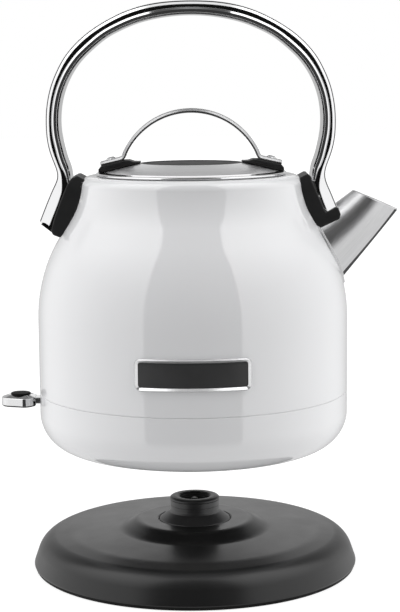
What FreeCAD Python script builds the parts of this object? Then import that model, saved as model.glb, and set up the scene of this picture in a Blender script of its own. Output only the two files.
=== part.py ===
import FreeCAD, Part
import Sketcher
import math
import os

# Electric kettle with a lift-off power base.
# Frame: origin on the kettle's axis at the surface that the power base stands on,
# +Z up, +X towards the spout, -Y towards the nameplate. Millimetres.
# The pieces are placed with the kettle held above its base, ready to dock.

V = FreeCAD.Vector
doc = FreeCAD.newDocument("electric_kettle")
sheet = doc.addObject("Spreadsheet::Sheet", "dims")

SIZES = [
    # outer shell
    ("shell_radius", 84.9), ("shell_wall", 1.0), ("shell_foot", 99.6), ("wall_top", 140.0),
    ("dome_bend", 85.0), ("dome_end_radius", 72.76), ("dome_end_level", 183.78),
    ("flare_start_radius", 66.63), ("flare_start_level", 193.98), ("flare_bend", 45.0),
    ("collar_radius", 60.5), ("collar_level", 212.0), ("collar_bend", 5.5), ("crown_level", 217.5),
    ("mouth_radius", 49.2), ("mouth_bend", 1.4), ("lip_level", 207.0),
    # lower housing
    ("housing_top", 99.2), ("housing_wall", 2.2), ("foot_bend", 20.5), ("foot_level", 67.5),
    ("foot_inner_radius", 60.0),
    ("slot_low", 89.0), ("slot_high", 97.7), ("slot_half", 6.0),
    # heater and control
    ("plate_low", 97.0), ("plate_thick", 1.2), ("plate_radius", 82.4), ("plate_rim", 106.0),
    ("seal_radius", 83.85), ("seal_low", 99.65), ("seal_high", 105.0),
    ("spreader_radius", 55.0), ("spreader_thick", 1.95),
    ("element_ring", 42.0), ("element_tube", 3.4), ("element_level", 91.5),
    ("control_radius", 24.0), ("control_flange", 30.0), ("control_low", 75.7), ("control_high", 90.0),
    ("socket_radius", 14.6), ("socket_top", 87.0), ("socket_lead", 17.5),
    ("plug_radius", 6.5), ("plug_bore", 2.8), ("plug_low", 80.4),
    ("disc_radius", 9.0), ("disc_offset", 12.0),
    ("cover_radius", 59.6), ("cover_low", 68.3), ("cover_recess", 53.0), ("cover_hole", 21.0),
    ("cover_roof", 74.0), ("cover_wall", 1.6),
    # handle
    ("handle_half", 12.0), ("bracket_half", 14.0), ("shell_gap", 0.05),
    ("handle_screw_level", 206.5), ("handle_screw_offset", 6.5), ("handle_screw_radius", 1.8),
    # nameplate
    ("plate_wide", 59.6), ("plate_high", 16.8), ("plate_centre", 121.3), ("plate_border", 1.9),
    ("plate_proud", 1.4), ("plate_round", 2.4),
    # spout
    ("spout_wall", 0.8), ("spout_mouth_bend", 10.5), ("spout_root_bend", 14.0),
    ("keel_root_out", 83.7), ("keel_root_up", 161.0), ("keel_tip_out", 113.4), ("keel_tip_up", 197.5),
    ("back_tip_out", 88.3), ("back_tip_up", 208.4), ("back_root_out", 70.0), ("back_root_up", 194.9),
    ("flange_wide", 3.2), ("flange_thick", 0.9),
    # lid
    ("lid_radius", 51.9), ("lid_low", 217.7), ("lid_high", 224.0), ("lid_flat", 28.0),
    ("lid_cone_radius", 47.0), ("lid_sheet", 1.0), ("skirt_radius", 46.8), ("skirt_low", 206.0),
    ("lid_seal_radius", 48.9), ("strap_half", 6.25), ("pad_half", 8.0), ("lid_screw_offset", 43.4),
    # switch
    ("paddle_centre", 96.5), ("paddle_radius", 9.8), ("paddle_low", 90.6), ("paddle_high", 97.2),
    ("paddle_edge", 2.2), ("pivot_out", 76.0), ("pivot_level", 93.4), ("pin_radius", 1.5), ("hub_radius", 3.4),
    ("insert_radius", 5.5),
    ("rocker_out", 52.0), ("rocker_level", 86.0),
    # power base
    ("base_radius", 90.0), ("base_low", 0.8), ("base_wide_level", 2.6), ("wall_end_radius", 87.35),
    ("wall_end_level", 10.24), ("edge_bend", 10.0), ("edge_end_radius", 80.1), ("edge_end_level", 18.16),
    ("crown_radius", 60.0), ("crown_up", 20.0), ("dais_foot_radius", 40.4), ("dais_foot_level", 22.0),
    ("dais_radius", 34.6), ("dais_level", 25.6), ("dais_hole", 20.2), ("base_wall", 2.2),
    ("floor_radius", 86.0), ("floor_low", 1.0), ("floor_high", 2.6), ("stud_radius", 4.0), ("stud_ring", 60.0),
    ("foot_ring_inner", 76.0), ("foot_ring_outer", 84.0),
    ("post_foot", 19.6), ("post_radius", 13.5), ("post_neck", 10.0), ("post_recess", 8.1),
    ("post_shoulder", 33.0), ("post_top", 37.4), ("recess_floor", 32.6), ("post_flange", 30.0),
    ("ring_radius", 13.9), ("ring_bore", 10.06), ("ring_low", 33.4), ("ring_top", 38.4), ("ring_eye", 8.3),
    ("ring_bend", 2.0), ("contact_radius", 2.0), ("contact_top", 37.0),
    ("gland_radius", 4.2), ("gland_bore", 3.0), ("gland_level", 8.0),
    ("wire_radius", 1.2), ("wire_bend", 6.0),
]


class Dim:
    """A size: its value now, and the expression that gives it from the sheet."""

    def __init__(self, value, text):
        self.value = float(value)
        self.text = text

    def __add__(self, other):
        o = lift(other)
        return Dim(self.value + o.value, "(%s + %s)" % (self.text, o.text))

    def __sub__(self, other):
        o = lift(other)
        return Dim(self.value - o.value, "(%s - %s)" % (self.text, o.text))

    def __mul__(self, other):
        o = lift(other)
        return Dim(self.value * o.value, "(%s * %s)" % (self.text, o.text))

    def __radd__(self, other):
        return lift(other) + self

    def __rsub__(self, other):
        return lift(other) - self

    def __rmul__(self, other):
        return lift(other) * self

    def __neg__(self):
        return Dim(-self.value, "(0 - %s)" % self.text)


def lift(x):
    return x if isinstance(x, Dim) else Dim(x, "%.6g" % x)


D = {}
for row, (alias, value) in enumerate(SIZES, 1):
    sheet.set("A%d" % row, alias)
    sheet.set("B%d" % row, "%g" % value)
    sheet.setAlias("B%d" % row, alias)
    D[alias] = Dim(value, "dims." + alias)
doc.recompute()


def size(alias):
    """A size read back from the sheet, for shapes set directly."""
    return float(sheet.get(alias))


def bind(obj, prop, dim):
    d = lift(dim)
    if prop.startswith("Placement"):
        obj.setExpression(prop, d.text)
    else:
        setattr(obj, prop, d.value)
        obj.setExpression(prop, d.text)


def place(obj, x=0, y=0, z=0, rotation=None):
    obj.Placement = FreeCAD.Placement(V(lift(x).value, lift(y).value, lift(z).value),
                                      rotation or FreeCAD.Rotation())
    for key, val in (("x", x), ("y", y), ("z", z)):
        if isinstance(val, Dim):
            obj.setExpression("Placement.Base." + key, val.text)
    return obj


ROT_Y_AXIS = FreeCAD.Rotation(V(1, 0, 0), -90)   # a cylinder's axis turned to +Y
ROT_X_AXIS = FreeCAD.Rotation(V(0, 1, 0), 90)    # a cylinder's axis turned to +X


def cylinder(name, radius, height, x=0, y=0, z=0, rotation=None):
    o = doc.addObject("Part::Cylinder", name)
    bind(o, "Radius", radius)
    bind(o, "Height", height)
    return place(o, x, y, z, rotation)


def box(name, lx, ly, lz, x=0, y=0, z=0, rotation=None):
    o = doc.addObject("Part::Box", name)
    bind(o, "Length", lx)
    bind(o, "Width", ly)
    bind(o, "Height", lz)
    return place(o, x, y, z, rotation)


def torus(name, ring, tube, x=0, y=0, z=0, rotation=None, sweep=360):
    o = doc.addObject("Part::Torus", name)
    bind(o, "Radius1", ring)
    bind(o, "Radius2", tube)
    o.Angle3 = sweep
    return place(o, x, y, z, rotation)


def cut(name, base, tool):
    o = doc.addObject("Part::Cut", name)
    o.Base = base
    o.Tool = tool
    return o


def fuse(name, *parts):
    o = doc.addObject("Part::MultiFuse", name)
    o.Shapes = list(parts)
    return o


def common(name, a, b):
    o = doc.addObject("Part::Common", name)
    o.Base = a
    o.Tool = b
    return o


def group(name, *parts):
    o = doc.addObject("Part::Compound", name)
    o.Links = list(parts)
    return o


def profile(body, name, role, points, arcs):
    """A closed sketch through the points. arcs: {i: (radius, side)} bends the edge from
    point i to the next one, with its centre on that side of the edge's direction."""
    sk = body.newObject("Sketcher::SketchObject", name)
    plane = [f for f in body.Origin.OriginFeatures if f.Role == role][0]
    sk.AttachmentSupport = [(plane, "")]
    sk.MapMode = "FlatFace"
    pts = [(lift(a), lift(b)) for a, b in points]
    n = len(pts)
    geo, ends = [], []
    for i in range(n):
        a = V(pts[i][0].value, pts[i][1].value, 0)
        b = V(pts[(i + 1) % n][0].value, pts[(i + 1) % n][1].value, 0)
        if i in arcs:
            rad, side = lift(arcs[i][0]), arcs[i][1]
            chord = b - a
            mid = (a + b) * 0.5
            rise = math.sqrt(max(rad.value ** 2 - (chord.Length / 2) ** 2, 0.0))
            left = V(-chord.y, chord.x, 0)
            left.normalize()
            c = mid + left * (rise if side == "left" else -rise)
            circle = Part.Circle(c, V(0, 0, 1), rad.value)
            aa = math.atan2(a.y - c.y, a.x - c.x)
            ab = math.atan2(b.y - c.y, b.x - c.x)
            if side == "left":
                geo.append(Part.ArcOfCircle(circle, aa, ab if ab > aa else ab + 2 * math.pi))
                ends.append((1, 2))
            else:
                geo.append(Part.ArcOfCircle(circle, ab, aa if aa > ab else aa + 2 * math.pi))
                ends.append((2, 1))
        else:
            geo.append(Part.LineSegment(a, b))
            ends.append((1, 2))
    sk.addGeometry(geo, False)
    cons, texts = [], []

    def add(c, text=None):
        cons.append(c)
        texts.append(text)

    for i in range(n):
        j = (i + 1) % n
        add(Sketcher.Constraint("Coincident", i, ends[i][1], j, ends[j][0]))
    for i in range(n):
        p = ends[i][0]
        for k, kind, axis in ((0, "DistanceX", -2), (1, "DistanceY", -1)):
            d = pts[i][k]
            if abs(d.value) < 1e-9:
                add(Sketcher.Constraint("PointOnObject", i, p, axis))
            elif d.value > 0:
                add(Sketcher.Constraint(kind, -1, 1, i, p, d.value), d.text)
            else:
                add(Sketcher.Constraint(kind, i, p, -1, 1, -d.value), (-d).text)
    for i, (rad, side) in arcs.items():
        add(Sketcher.Constraint("Radius", i, lift(rad).value), lift(rad).text)
    sk.addConstraint(cons)
    for i, text in enumerate(texts):
        if text is not None:
            sk.setExpression("Constraints[%d]" % i, text)
    return sk


def turned(name, points, arcs=None):
    """A body turned about the kettle's axis from its half section (radius, height)."""
    body = doc.addObject("PartDesign::Body", name)
    sk = profile(body, name + "_section", "XZ_Plane", points, arcs or {})
    rev = body.newObject("PartDesign::Revolution", name + "_turn")
    rev.Profile = sk
    rev.ReferenceAxis = (sk, ["V_Axis"])
    rev.Angle = 360.0
    body.Tip = rev
    return body


def slab(name, points, half, arcs=None):
    """A body padded both ways along Y from its outline in the XZ plane."""
    body = doc.addObject("PartDesign::Body", name)
    sk = profile(body, name + "_outline", "XZ_Plane", points, arcs or {})
    pad = body.newObject("PartDesign::Pad", name + "_pad")
    pad.Profile = sk
    pad.Midplane = True
    pad.Length = lift(half).value * 2
    pad.setExpression("Length", (lift(half) * 2).text)
    body.Tip = pad
    return body


NODES = {}


def node(name, obj):
    obj.Label = name
    NODES[name] = obj
    return obj


S = D
wall = S["shell_wall"]

# ---------------------------------------------------------------- outer shell
# the outside of the shell as one solid, used to seat what lies on it
c31, s31 = math.cos(math.radians(31)), math.sin(math.radians(31))
collar_centre = S["collar_radius"] - S["collar_bend"]


def shell_line(off):
    """Outer line of the shell, moved outwards by off, from the foot to the crown."""
    r, t = S["shell_radius"] + off, off
    pts = [(r, S["shell_foot"]), (r, S["wall_top"]),
           (S["dome_end_radius"] + t * c31, S["dome_end_level"] + t * s31),
           (S["flare_start_radius"] + t * c31, S["flare_start_level"] + t * s31),
           (S["collar_radius"] + t, S["collar_level"]),
           (collar_centre, S["crown_level"] + t)]
    arcs = {1: (S["dome_bend"] + t, "left"), 3: (S["flare_bend"] - t, "right"),
            4: (S["collar_bend"] + t, "left")}
    return pts, arcs


def shell_core(name, off):
    pts, arcs = shell_line(lift(off))
    pts = pts + [(0, S["crown_level"] + off), (0, S["shell_foot"])]
    return turned(name, pts, arcs)


outer, arcs = shell_line(lift(0))
inner = [(S["mouth_radius"] + S["mouth_bend"], S["crown_level"]),
         (S["mouth_radius"], S["crown_level"] - S["mouth_bend"]),
         (S["mouth_radius"], S["lip_level"]),
         (S["mouth_radius"] + wall, S["lip_level"]),
         (S["mouth_radius"] + wall, S["crown_level"] - wall),
         (collar_centre, S["crown_level"] - wall),
         (S["collar_radius"] - wall, S["collar_level"]),
         (S["flare_start_radius"] - wall * c31, S["flare_start_level"] - wall * s31),
         (S["dome_end_radius"] - wall * c31, S["dome_end_level"] - wall * s31),
         (S["shell_radius"] - wall, S["wall_top"]),
         (S["shell_radius"] - wall, S["shell_foot"])]
arcs = dict(arcs)
arcs[6] = (S["mouth_bend"], "left")
arcs[11] = (S["collar_bend"] - wall, "right")
arcs[12] = (S["flare_bend"] + wall, "left")
arcs[14] = (S["dome_bend"] - wall, "right")
shell_blank = turned("shell_blank", outer + inner, arcs)
shell_seat = shell_core("shell_seat", S["shell_gap"])

# ---------------------------------------------------------------- spout
# teardrop sections: two flat sides from a sharp keel, closed by a round back


def teardrop(keel, back, bend, shrink=0.0):
    """Wire in the plane of keel, back and Y. bend is the radius of the round back."""
    axis = back - keel
    length = axis.Length
    axis.normalize()
    c = length - bend
    phi = math.asin(bend / c)
    r = bend - shrink
    k = shrink / math.sin(phi)
    ct = (c - k) * math.cos(phi)
    side = V(0, 1, 0)

    def at(s, y):
        return keel + axis * s + side * y
    t_s, t_y = k + ct * math.cos(phi), ct * math.sin(phi)
    p0, p1, p2, p3 = at(k, 0), at(t_s, t_y), at(c + r, 0), at(t_s, -t_y)
    return Part.Wire([Part.LineSegment(p0, p1).toShape(), Part.Arc(p1, p2, p3).toShape(),
                      Part.LineSegment(p3, p0).toShape()])


keel_root = V(size("keel_root_out"), 0, size("keel_root_up"))
keel_tip = V(size("keel_tip_out"), 0, size("keel_tip_up"))
back_root = V(size("back_root_out"), 0, size("back_root_up"))
back_tip = V(size("back_tip_out"), 0, size("back_tip_up"))


def spout_loft(shrink, start, stop):
    wires = []
    for t in (start, stop):
        wires.append(teardrop(keel_root + (keel_tip - keel_root) * t, back_root + (back_tip - back_root) * t,
                              size("spout_root_bend") + (size("spout_mouth_bend") - size("spout_root_bend")) * t,
                              shrink))
    return Part.makeLoft(wires, True, True)


doc.recompute()
seat_shape = shell_seat.Shape
wall_t = size("spout_wall")
horn = spout_loft(0.0, -0.35, 1.0).cut(spout_loft(wall_t, -0.5, 1.15))
skin = shell_core("shell_skin", S["shell_gap"] + S["flange_thick"])
doc.recompute()
collar = skin.Shape.cut(seat_shape).common(spout_loft(-size("flange_wide"), -0.35, 0.6))
collar = collar.cut(spout_loft(wall_t, -0.5, 1.15))
spout_shape = horn.cut(seat_shape).fuse(collar).removeSplitter()
spout_shape = max(spout_shape.Solids, key=lambda s: s.Volume)
spout_raw = doc.addObject("Part::Feature", "spout_raw")
spout_raw.Shape = spout_shape
spout_bore = doc.addObject("Part::Feature", "spout_bore")
spout_bore.Shape = spout_loft(wall_t, -0.5, 1.15)

# strainer: a pierced plate set in the root of the spout
plate_axis = back_root - keel_root
plate_axis.normalize()
plate_out = V(plate_axis.z, 0, -plate_axis.x)
strainer = spout_loft(wall_t + 0.15, -0.5, 1.15)
gate = Part.makeBox(60, 60, 1.0, V(-30, -30, -0.5))
mid_root = (keel_root + back_root) * 0.5
gate.Placement = FreeCAD.Placement(mid_root + plate_out * 7.5, FreeCAD.Rotation(V(0, 0, 1), plate_out))
strainer = strainer.common(gate)
for a in range(-2, 3):
    for b in range(-1, 2):
        hole = Part.makeCylinder(1.3, 6, mid_root + plate_out * 4.5 + plate_axis * (a * 4.4 + 1.5) + V(0, b * 4.6, 0),
                                 plate_out)
        strainer = strainer.cut(hole)
strainer = max(strainer.Solids, key=lambda s: s.Volume)
spout_strainer = doc.addObject("Part::Feature", "spout_strainer")
spout_strainer.Shape = strainer

# ---------------------------------------------------------------- handle
# one arch whose two ends turn outwards into tabs that lie on the brackets
ARCH_OUT = [(72.0, 217.1), (72.5, 220.6), (74.2, 224.9), (76.0, 229.8), (77.3, 234.9), (78.1, 245.8), (77.9, 252.2),
            (76.7, 260.2), (75.0, 266.6), (72.3, 273.0), (68.7, 279.9), (62.8, 287.4), (57.9, 292.0), (49.1, 298.3),
            (43.4, 301.5), (36.8, 304.7), (27.7, 307.8), (0.0, 310.9)]
ARCH_IN = [(65.0, 216.5), (65.7, 222.0), (67.7, 227.1), (69.3, 233.6), (70.7, 240.3), (71.1, 246.7), (70.7, 253.4),
           (69.5, 259.9), (67.3, 266.4), (64.0, 273.0), (59.3, 279.5), (52.6, 285.9), (44.2, 292.4), (37.9, 295.6),
           (30.0, 298.9), (17.2, 302.1), (0.0, 303.6)]
REAR_TAB = [(-65.0, 216.5), (-66.9, 213.6), (-70.8, 204.7), (-74.5, 195.0), (-76.2, 188.5), (-81.6, 192.9), (-72.0, 217.1)]
FRONT_TAB = [(72.0, 217.1), (72.2, 214.2), (77.5, 200.2), (72.4, 197.4), (64.9, 214.9), (65.0, 216.5)]


def mirrored(points):
    return [(-x, z) for x, z in points]


def curve(points):
    c = Part.BSplineCurve()
    c.interpolate([V(x, 0, z) for x, z in points])
    return c.toShape()


def lines(points):
    return [Part.LineSegment(V(a[0], 0, a[1]), V(b[0], 0, b[1])).toShape() for a, b in zip(points, points[1:])]


half = size("handle_half")
arch_outer = curve(mirrored(ARCH_OUT) + ARCH_OUT[-2::-1])
arch_inner = curve(ARCH_IN + mirrored(ARCH_IN)[-2::-1])
outline = Part.Wire(Part.__sortEdges__([arch_outer] + lines(FRONT_TAB) + [arch_inner] + lines(REAR_TAB)))
arch = Part.Face(outline).extrude(V(0, 2 * half, 0))
arch.translate(V(0, -half, 0))
arch_blank = doc.addObject("Part::Feature", "arch_blank")
arch_blank.Shape = arch

rear_blank = slab("rear_bracket_blank",
                  [(-61.6, 218.5), (-64.6, 216.9), (-66.85, 213.6), (-70.75, 204.7), (-74.45, 195.0), (-76.15, 188.4),
                   (-75.4, 187.2), (-71.0, 184.6), (-55.0, 186.0), (-48.0, 214.5)], S["bracket_half"])
front_blank = slab("front_bracket_blank",
                   [(62.6, 218.5), (64.6, 216.5), (64.85, 214.85), (72.35, 197.3), (77.7, 199.95), (78.9, 199.6),
                    (80.3, 196.2), (79.8, 194.2), (69.0, 188.7), (52.0, 188.0), (46.0, 213.6)], S["bracket_half"])

# screws from inside the shell, through the bracket, into each tab
screw_parts, screw_cuts = [], []
lev, off, rad = S["handle_screw_level"], S["handle_screw_offset"], S["handle_screw_radius"]
for side, tag in ((1, "front"), (-1, "rear")):
    for sy, tag2 in ((1, "a"), (-1, "b")):
        y = off * sy
        n = "handle_screw_%s_%s" % (tag, tag2)
        if side > 0:
            shank = cylinder(n + "_shank", rad, 15.0, 58.6, y, lev, ROT_X_AXIS)
            head = cylinder(n + "_head", rad + 1.5, 1.6, 57.2, y, lev, ROT_X_AXIS)
            drill = cylinder(n + "_drill", rad + 0.06, 15.3, 58.6, y, lev, ROT_X_AXIS)
        else:
            shank = cylinder(n + "_shank", rad, 15.0, -73.6, y, lev, ROT_X_AXIS)
            head = cylinder(n + "_head", rad + 1.5, 1.6, -58.8, y, lev, ROT_X_AXIS)
            drill = cylinder(n + "_drill", rad + 0.06, 15.3, -73.9, y, lev, ROT_X_AXIS)
        screw_parts.append(fuse(n, shank, head))
        screw_cuts.append(drill)
handle_drills = fuse("handle_drills", *screw_cuts)

node("rear_bracket", cut("rear_bracket", cut("rear_bracket_seated", rear_blank, shell_seat), handle_drills))
front_seated = cut("front_bracket_seated", front_blank, shell_seat)
horn_solid = doc.addObject("Part::Feature", "spout_room")
horn_solid.Shape = spout_loft(-0.08, -0.35, 1.0)
skin_flange = doc.addObject("Part::Feature", "flange_room")
skin_flange.Shape = skin.Shape.common(spout_loft(-size("flange_wide") - 0.1, -0.35, 0.6))
arch_clear = cut("arch_clear", cut("arch_off_flange", arch_blank, skin_flange), horn_solid)
node("handle_arch", cut("handle_arch", arch_clear, handle_drills))
front_clear = cut("front_bracket_clear", cut("front_bracket_off_flange", front_seated, skin_flange), horn_solid)
node("front_bracket", cut("front_bracket", front_clear, handle_drills))
node("handle_screws", group("handle_screws", *screw_parts))
node("spout", spout_raw)
node("spout_strainer", spout_strainer)
node("body_shell", cut("body_shell", cut("shell_pierced", shell_blank, spout_bore), handle_drills))

# ---------------------------------------------------------------- lower housing
hw = S["housing_wall"]
foot_centre = S["shell_radius"] - S["foot_bend"]
foot_up = S["foot_level"] + S["foot_bend"]
housing_ring = turned("housing_ring",
                      [(S["shell_radius"], S["housing_top"]), (S["shell_radius"], foot_up),
                       (foot_centre, S["foot_level"]), (S["foot_inner_radius"], S["foot_level"]),
                       (S["foot_inner_radius"], S["foot_level"] + hw), (foot_centre, S["foot_level"] + hw),
                       (S["shell_radius"] - hw, foot_up), (S["shell_radius"] - hw, S["housing_top"])],
                      {1: (S["foot_bend"], "right"), 5: (S["foot_bend"] - hw, "left")})
lug_a = box("lug_a", 10.7, 2.6, 8.8, -83.2, 10.4, 88.0)
lug_b = box("lug_b", 10.7, 2.6, 8.8, -83.2, -13.0, 88.0)
housing_solid = fuse("housing_solid", housing_ring, lug_a, lug_b)
lever_slot = box("lever_slot", 12.0, S["slot_half"] * 2, S["slot_high"] - S["slot_low"], -91.0,
                 -S["slot_half"], S["slot_low"])
pin_drill = cylinder("pin_drill", S["pin_radius"] + 0.02, 27.0, -S["pivot_out"], -13.5, S["pivot_level"], ROT_Y_AXIS)
node("bottom_housing", cut("bottom_housing", cut("housing_slotted", housing_solid, lever_slot), pin_drill))

# ---------------------------------------------------------------- heater
pt = S["plate_thick"]
heater_blank = turned("heater_blank",
                      [(0, S["plate_low"]), (S["plate_radius"], S["plate_low"]), (S["plate_radius"], S["plate_rim"]),
                       (S["plate_radius"] - pt, S["plate_rim"]), (S["plate_radius"] - pt, S["plate_low"] + pt),
                       (0, S["plate_low"] + pt)])
tube_hole = cylinder("tube_hole", 4.05, 6.0, -64.0, 0, 94.0)
node("heater_plate", cut("heater_plate", heater_blank, tube_hole))
node("plate_seal", turned("plate_seal",
                          [(S["plate_radius"] + 0.05, S["seal_low"]), (S["seal_radius"], S["seal_low"]),
                           (S["seal_radius"], S["seal_high"]), (S["plate_radius"] + 0.05, S["seal_high"])]))
node("heat_spreader", turned("heat_spreader",
                             [(0, S["plate_low"] - 0.05 - S["spreader_thick"]),
                              (S["spreader_radius"], S["plate_low"] - 0.05 - S["spreader_thick"]),
                              (S["spreader_radius"], S["plate_low"] - 0.05), (0, S["plate_low"] - 0.05)]))
ring = torus("element_ring_tube", S["element_ring"], S["element_tube"], 0, 0, S["element_level"],
             FreeCAD.Rotation(V(0, 0, 1), 20), 320)
c20, s20 = math.cos(math.radians(20)), math.sin(math.radians(20))
leg_a = cylinder("element_leg_a", 2.2, 13.0, S["element_ring"] * c20, S["element_ring"] * s20, 79.0)
leg_b = cylinder("element_leg_b", 2.2, 13.0, S["element_ring"] * c20, S["element_ring"] * (-s20), 79.0)
node("heating_element", fuse("heating_element", ring, leg_a, leg_b))
tube_out = cylinder("steam_tube_out", 4.0, 88.0, -64.0, 0, 96.3)
tube_in = cylinder("steam_tube_in", 3.2, 90.0, -64.0, 0, 95.3)
node("steam_tube", cut("steam_tube", tube_out, tube_in))

# ---------------------------------------------------------------- control unit and underside
control_blank = turned("control_blank",
                       [(S["socket_lead"], S["control_low"]), (S["control_flange"], S["control_low"]),
                        (S["control_flange"], S["control_low"] + 2.5), (S["control_radius"], S["control_low"] + 2.5),
                        (S["control_radius"], S["control_high"]), (0, S["control_high"]), (0, S["socket_top"]),
                        (S["socket_radius"], S["socket_top"]), (S["socket_radius"], S["control_low"] + 2.7)])
node("socket_contact", turned("socket_contact",
                              [(S["plug_bore"], S["plug_low"]), (S["plug_radius"], S["plug_low"]),
                               (S["plug_radius"], S["socket_top"] - 0.05), (0, S["socket_top"] - 0.05),
                               (0, S["socket_top"] - 1.4), (S["plug_bore"], S["socket_top"] - 1.4)]))
discs = []
for sy, tag in ((1, "a"), (-1, "b")):
    plate = cylinder("disc_plate_" + tag, S["disc_radius"], 0.6, 0, S["disc_offset"] * sy, 92.2)
    stem = cylinder("disc_stem_" + tag, 1.8, 2.4, 0, S["disc_offset"] * sy, 90.05)
    discs.append(fuse("bimetal_disc_" + tag, plate, stem))
node("bimetal_discs", group("bimetal_discs", *discs))

cw = S["cover_wall"]
cover_ring = turned("cover_ring",
                    [(S["cover_radius"], S["cover_low"]), (S["cover_recess"], S["cover_low"]),
                     (S["cover_recess"] - 1.5, S["cover_roof"]), (S["cover_hole"], S["cover_roof"]),
                     (S["cover_hole"], S["cover_roof"] + cw), (S["cover_recess"] - 0.3, S["cover_roof"] + cw),
                     (S["cover_recess"] + 1.2, S["cover_low"] + 3.7), (63.0, S["cover_low"] + 3.7),
                     (63.0, S["cover_low"] + 1.45), (S["cover_radius"], S["cover_low"] + 1.45)])
post_a = box("rocker_post_a", 6.0, 2.0, 14.4, -S["rocker_out"] - 3.0, 6.4, 74.6)
post_b = box("rocker_post_b", 6.0, 2.0, 14.4, -S["rocker_out"] - 3.0, -8.4, 74.6)
cover_solid = fuse("cover_solid", cover_ring, post_a, post_b)
rocker_drill = cylinder("rocker_drill", 1.22, 20.0, -S["rocker_out"], -10.0, S["rocker_level"], ROT_Y_AXIS)
screws, holes_wide, holes_tight = [], [], []
for i, ang in enumerate((90, 210, 330)):
    x, y = 27.0 * math.cos(math.radians(ang)), 27.0 * math.sin(math.radians(ang))
    shank = cylinder("cover_shank_%d" % i, 1.4, 4.2, x, y, 73.9)
    head = cylinder("cover_head_%d" % i, 2.6, 0.75, x, y, 73.2)
    screws.append(fuse("cover_screw_%d" % i, shank, head))
    holes_wide.append(cylinder("cover_drill_%d" % i, 1.5, 8.0, x, y, 72.0))
node("cover_screws", group("cover_screws", *screws))
cover_drills = fuse("cover_drills", *holes_wide)
node("underside_cover", cut("underside_cover", cut("cover_drilled", cover_solid, rocker_drill), cover_drills))
node("control_unit", cut("control_unit", control_blank, cover_drills))

# ---------------------------------------------------------------- nameplate, left bare


def plate_block(name, wide, high, corner):
    """A block through the front wall with its four long edges rounded."""
    b = box(name + "_block", wide, 30.0, high, wide * (-0.5), -100.0, S["plate_centre"] - high * 0.5)
    doc.recompute()
    f = doc.addObject("Part::Fillet", name)
    f.Base = b
    edges = []
    for i, e in enumerate(b.Shape.Edges, 1):
        d = e.Vertexes[-1].Point - e.Vertexes[0].Point
        if abs(d.y) > 20:
            edges.append((i, lift(corner).value, lift(corner).value))
    f.Edges = edges
    return f


pw, ph, pb = S["plate_wide"], S["plate_high"], S["plate_border"]
plate_outer = plate_block("plate_outer", pw, ph, S["plate_round"])
plate_inner = plate_block("plate_inner", pw - pb * 2, ph - pb * 2, 1.2)
plate_fill = plate_block("plate_fill", pw - pb * 2 - 0.1, ph - pb * 2 - 0.1, 1.15)
seat_skin = cylinder("plate_seat", S["shell_radius"] + 0.05, 60.0, 0, 0, 100.0)
bezel_skin = cylinder("bezel_skin", S["shell_radius"] + S["plate_proud"], 60.0, 0, 0, 100.0)
insert_skin = cylinder("insert_skin", S["shell_radius"] + S["plate_proud"] * 0.5, 60.0, 0, 0, 100.0)
bezel_ring = cut("bezel_ring", common("bezel_full", plate_outer, bezel_skin), seat_skin)
node("nameplate_bezel", cut("nameplate_bezel", bezel_ring, plate_inner))
node("nameplate_insert", cut("nameplate_insert", common("insert_full", plate_fill, insert_skin), seat_skin))

# ---------------------------------------------------------------- lid
ls = S["lid_sheet"]
lid_solid = turned("lid_solid",
                   [(0, S["lid_low"] - 2.0), (S["lid_radius"] + 0.03, S["lid_low"] - 2.0), (S["lid_radius"] + 0.03, S["lid_low"] + 1.23),
                    (S["lid_cone_radius"], S["lid_low"] + 1.93), (S["lid_flat"], S["lid_high"] + 0.03),
                    (0, S["lid_high"] + 0.03)])
lid_blank = turned("lid_blank",
                   [(0, S["lid_high"] - ls), (S["lid_flat"] - 0.3, S["lid_high"] - ls),
                    (S["lid_cone_radius"] - 0.6, S["lid_low"] + 0.8), (S["lid_cone_radius"] + 0.6, S["lid_low"]),
                    (S["lid_radius"], S["lid_low"]), (S["lid_radius"], S["lid_low"] + 1.2),
                    (S["lid_cone_radius"], S["lid_low"] + 1.9), (S["lid_flat"], S["lid_high"]), (0, S["lid_high"])])
node("lid_skirt", turned("lid_skirt",
                         [(S["skirt_radius"] - 1.2, S["skirt_low"]), (S["skirt_radius"], S["skirt_low"]),
                          (S["skirt_radius"], S["lid_low"] + 0.5), (S["skirt_radius"] - 1.2, S["lid_low"] + 0.5)]))
node("lid_seal", turned("lid_seal",
                        [(S["skirt_radius"] + 0.05, 209.0), (S["lid_seal_radius"] - 0.8, 209.0),
                         (S["lid_seal_radius"], 210.2), (S["lid_seal_radius"], 211.4),
                         (S["lid_seal_radius"] - 0.8, 212.6), (S["skirt_radius"] + 0.05, 212.6)]))
strap_blank = slab("strap_blank",
                   [(49.0, 223.05), (49.3, 225.0), (38.2, 227.55), (-38.2, 227.55), (-49.3, 225.0), (-49.0, 223.05),
                    (-36.5, 225.95), (36.5, 225.95)], S["strap_half"],
                   {2: (41.1, "left"), 6: (39.0, "right")})
pads, lid_screws, strap_cuts, lid_drills = [], [], [], []
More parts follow.
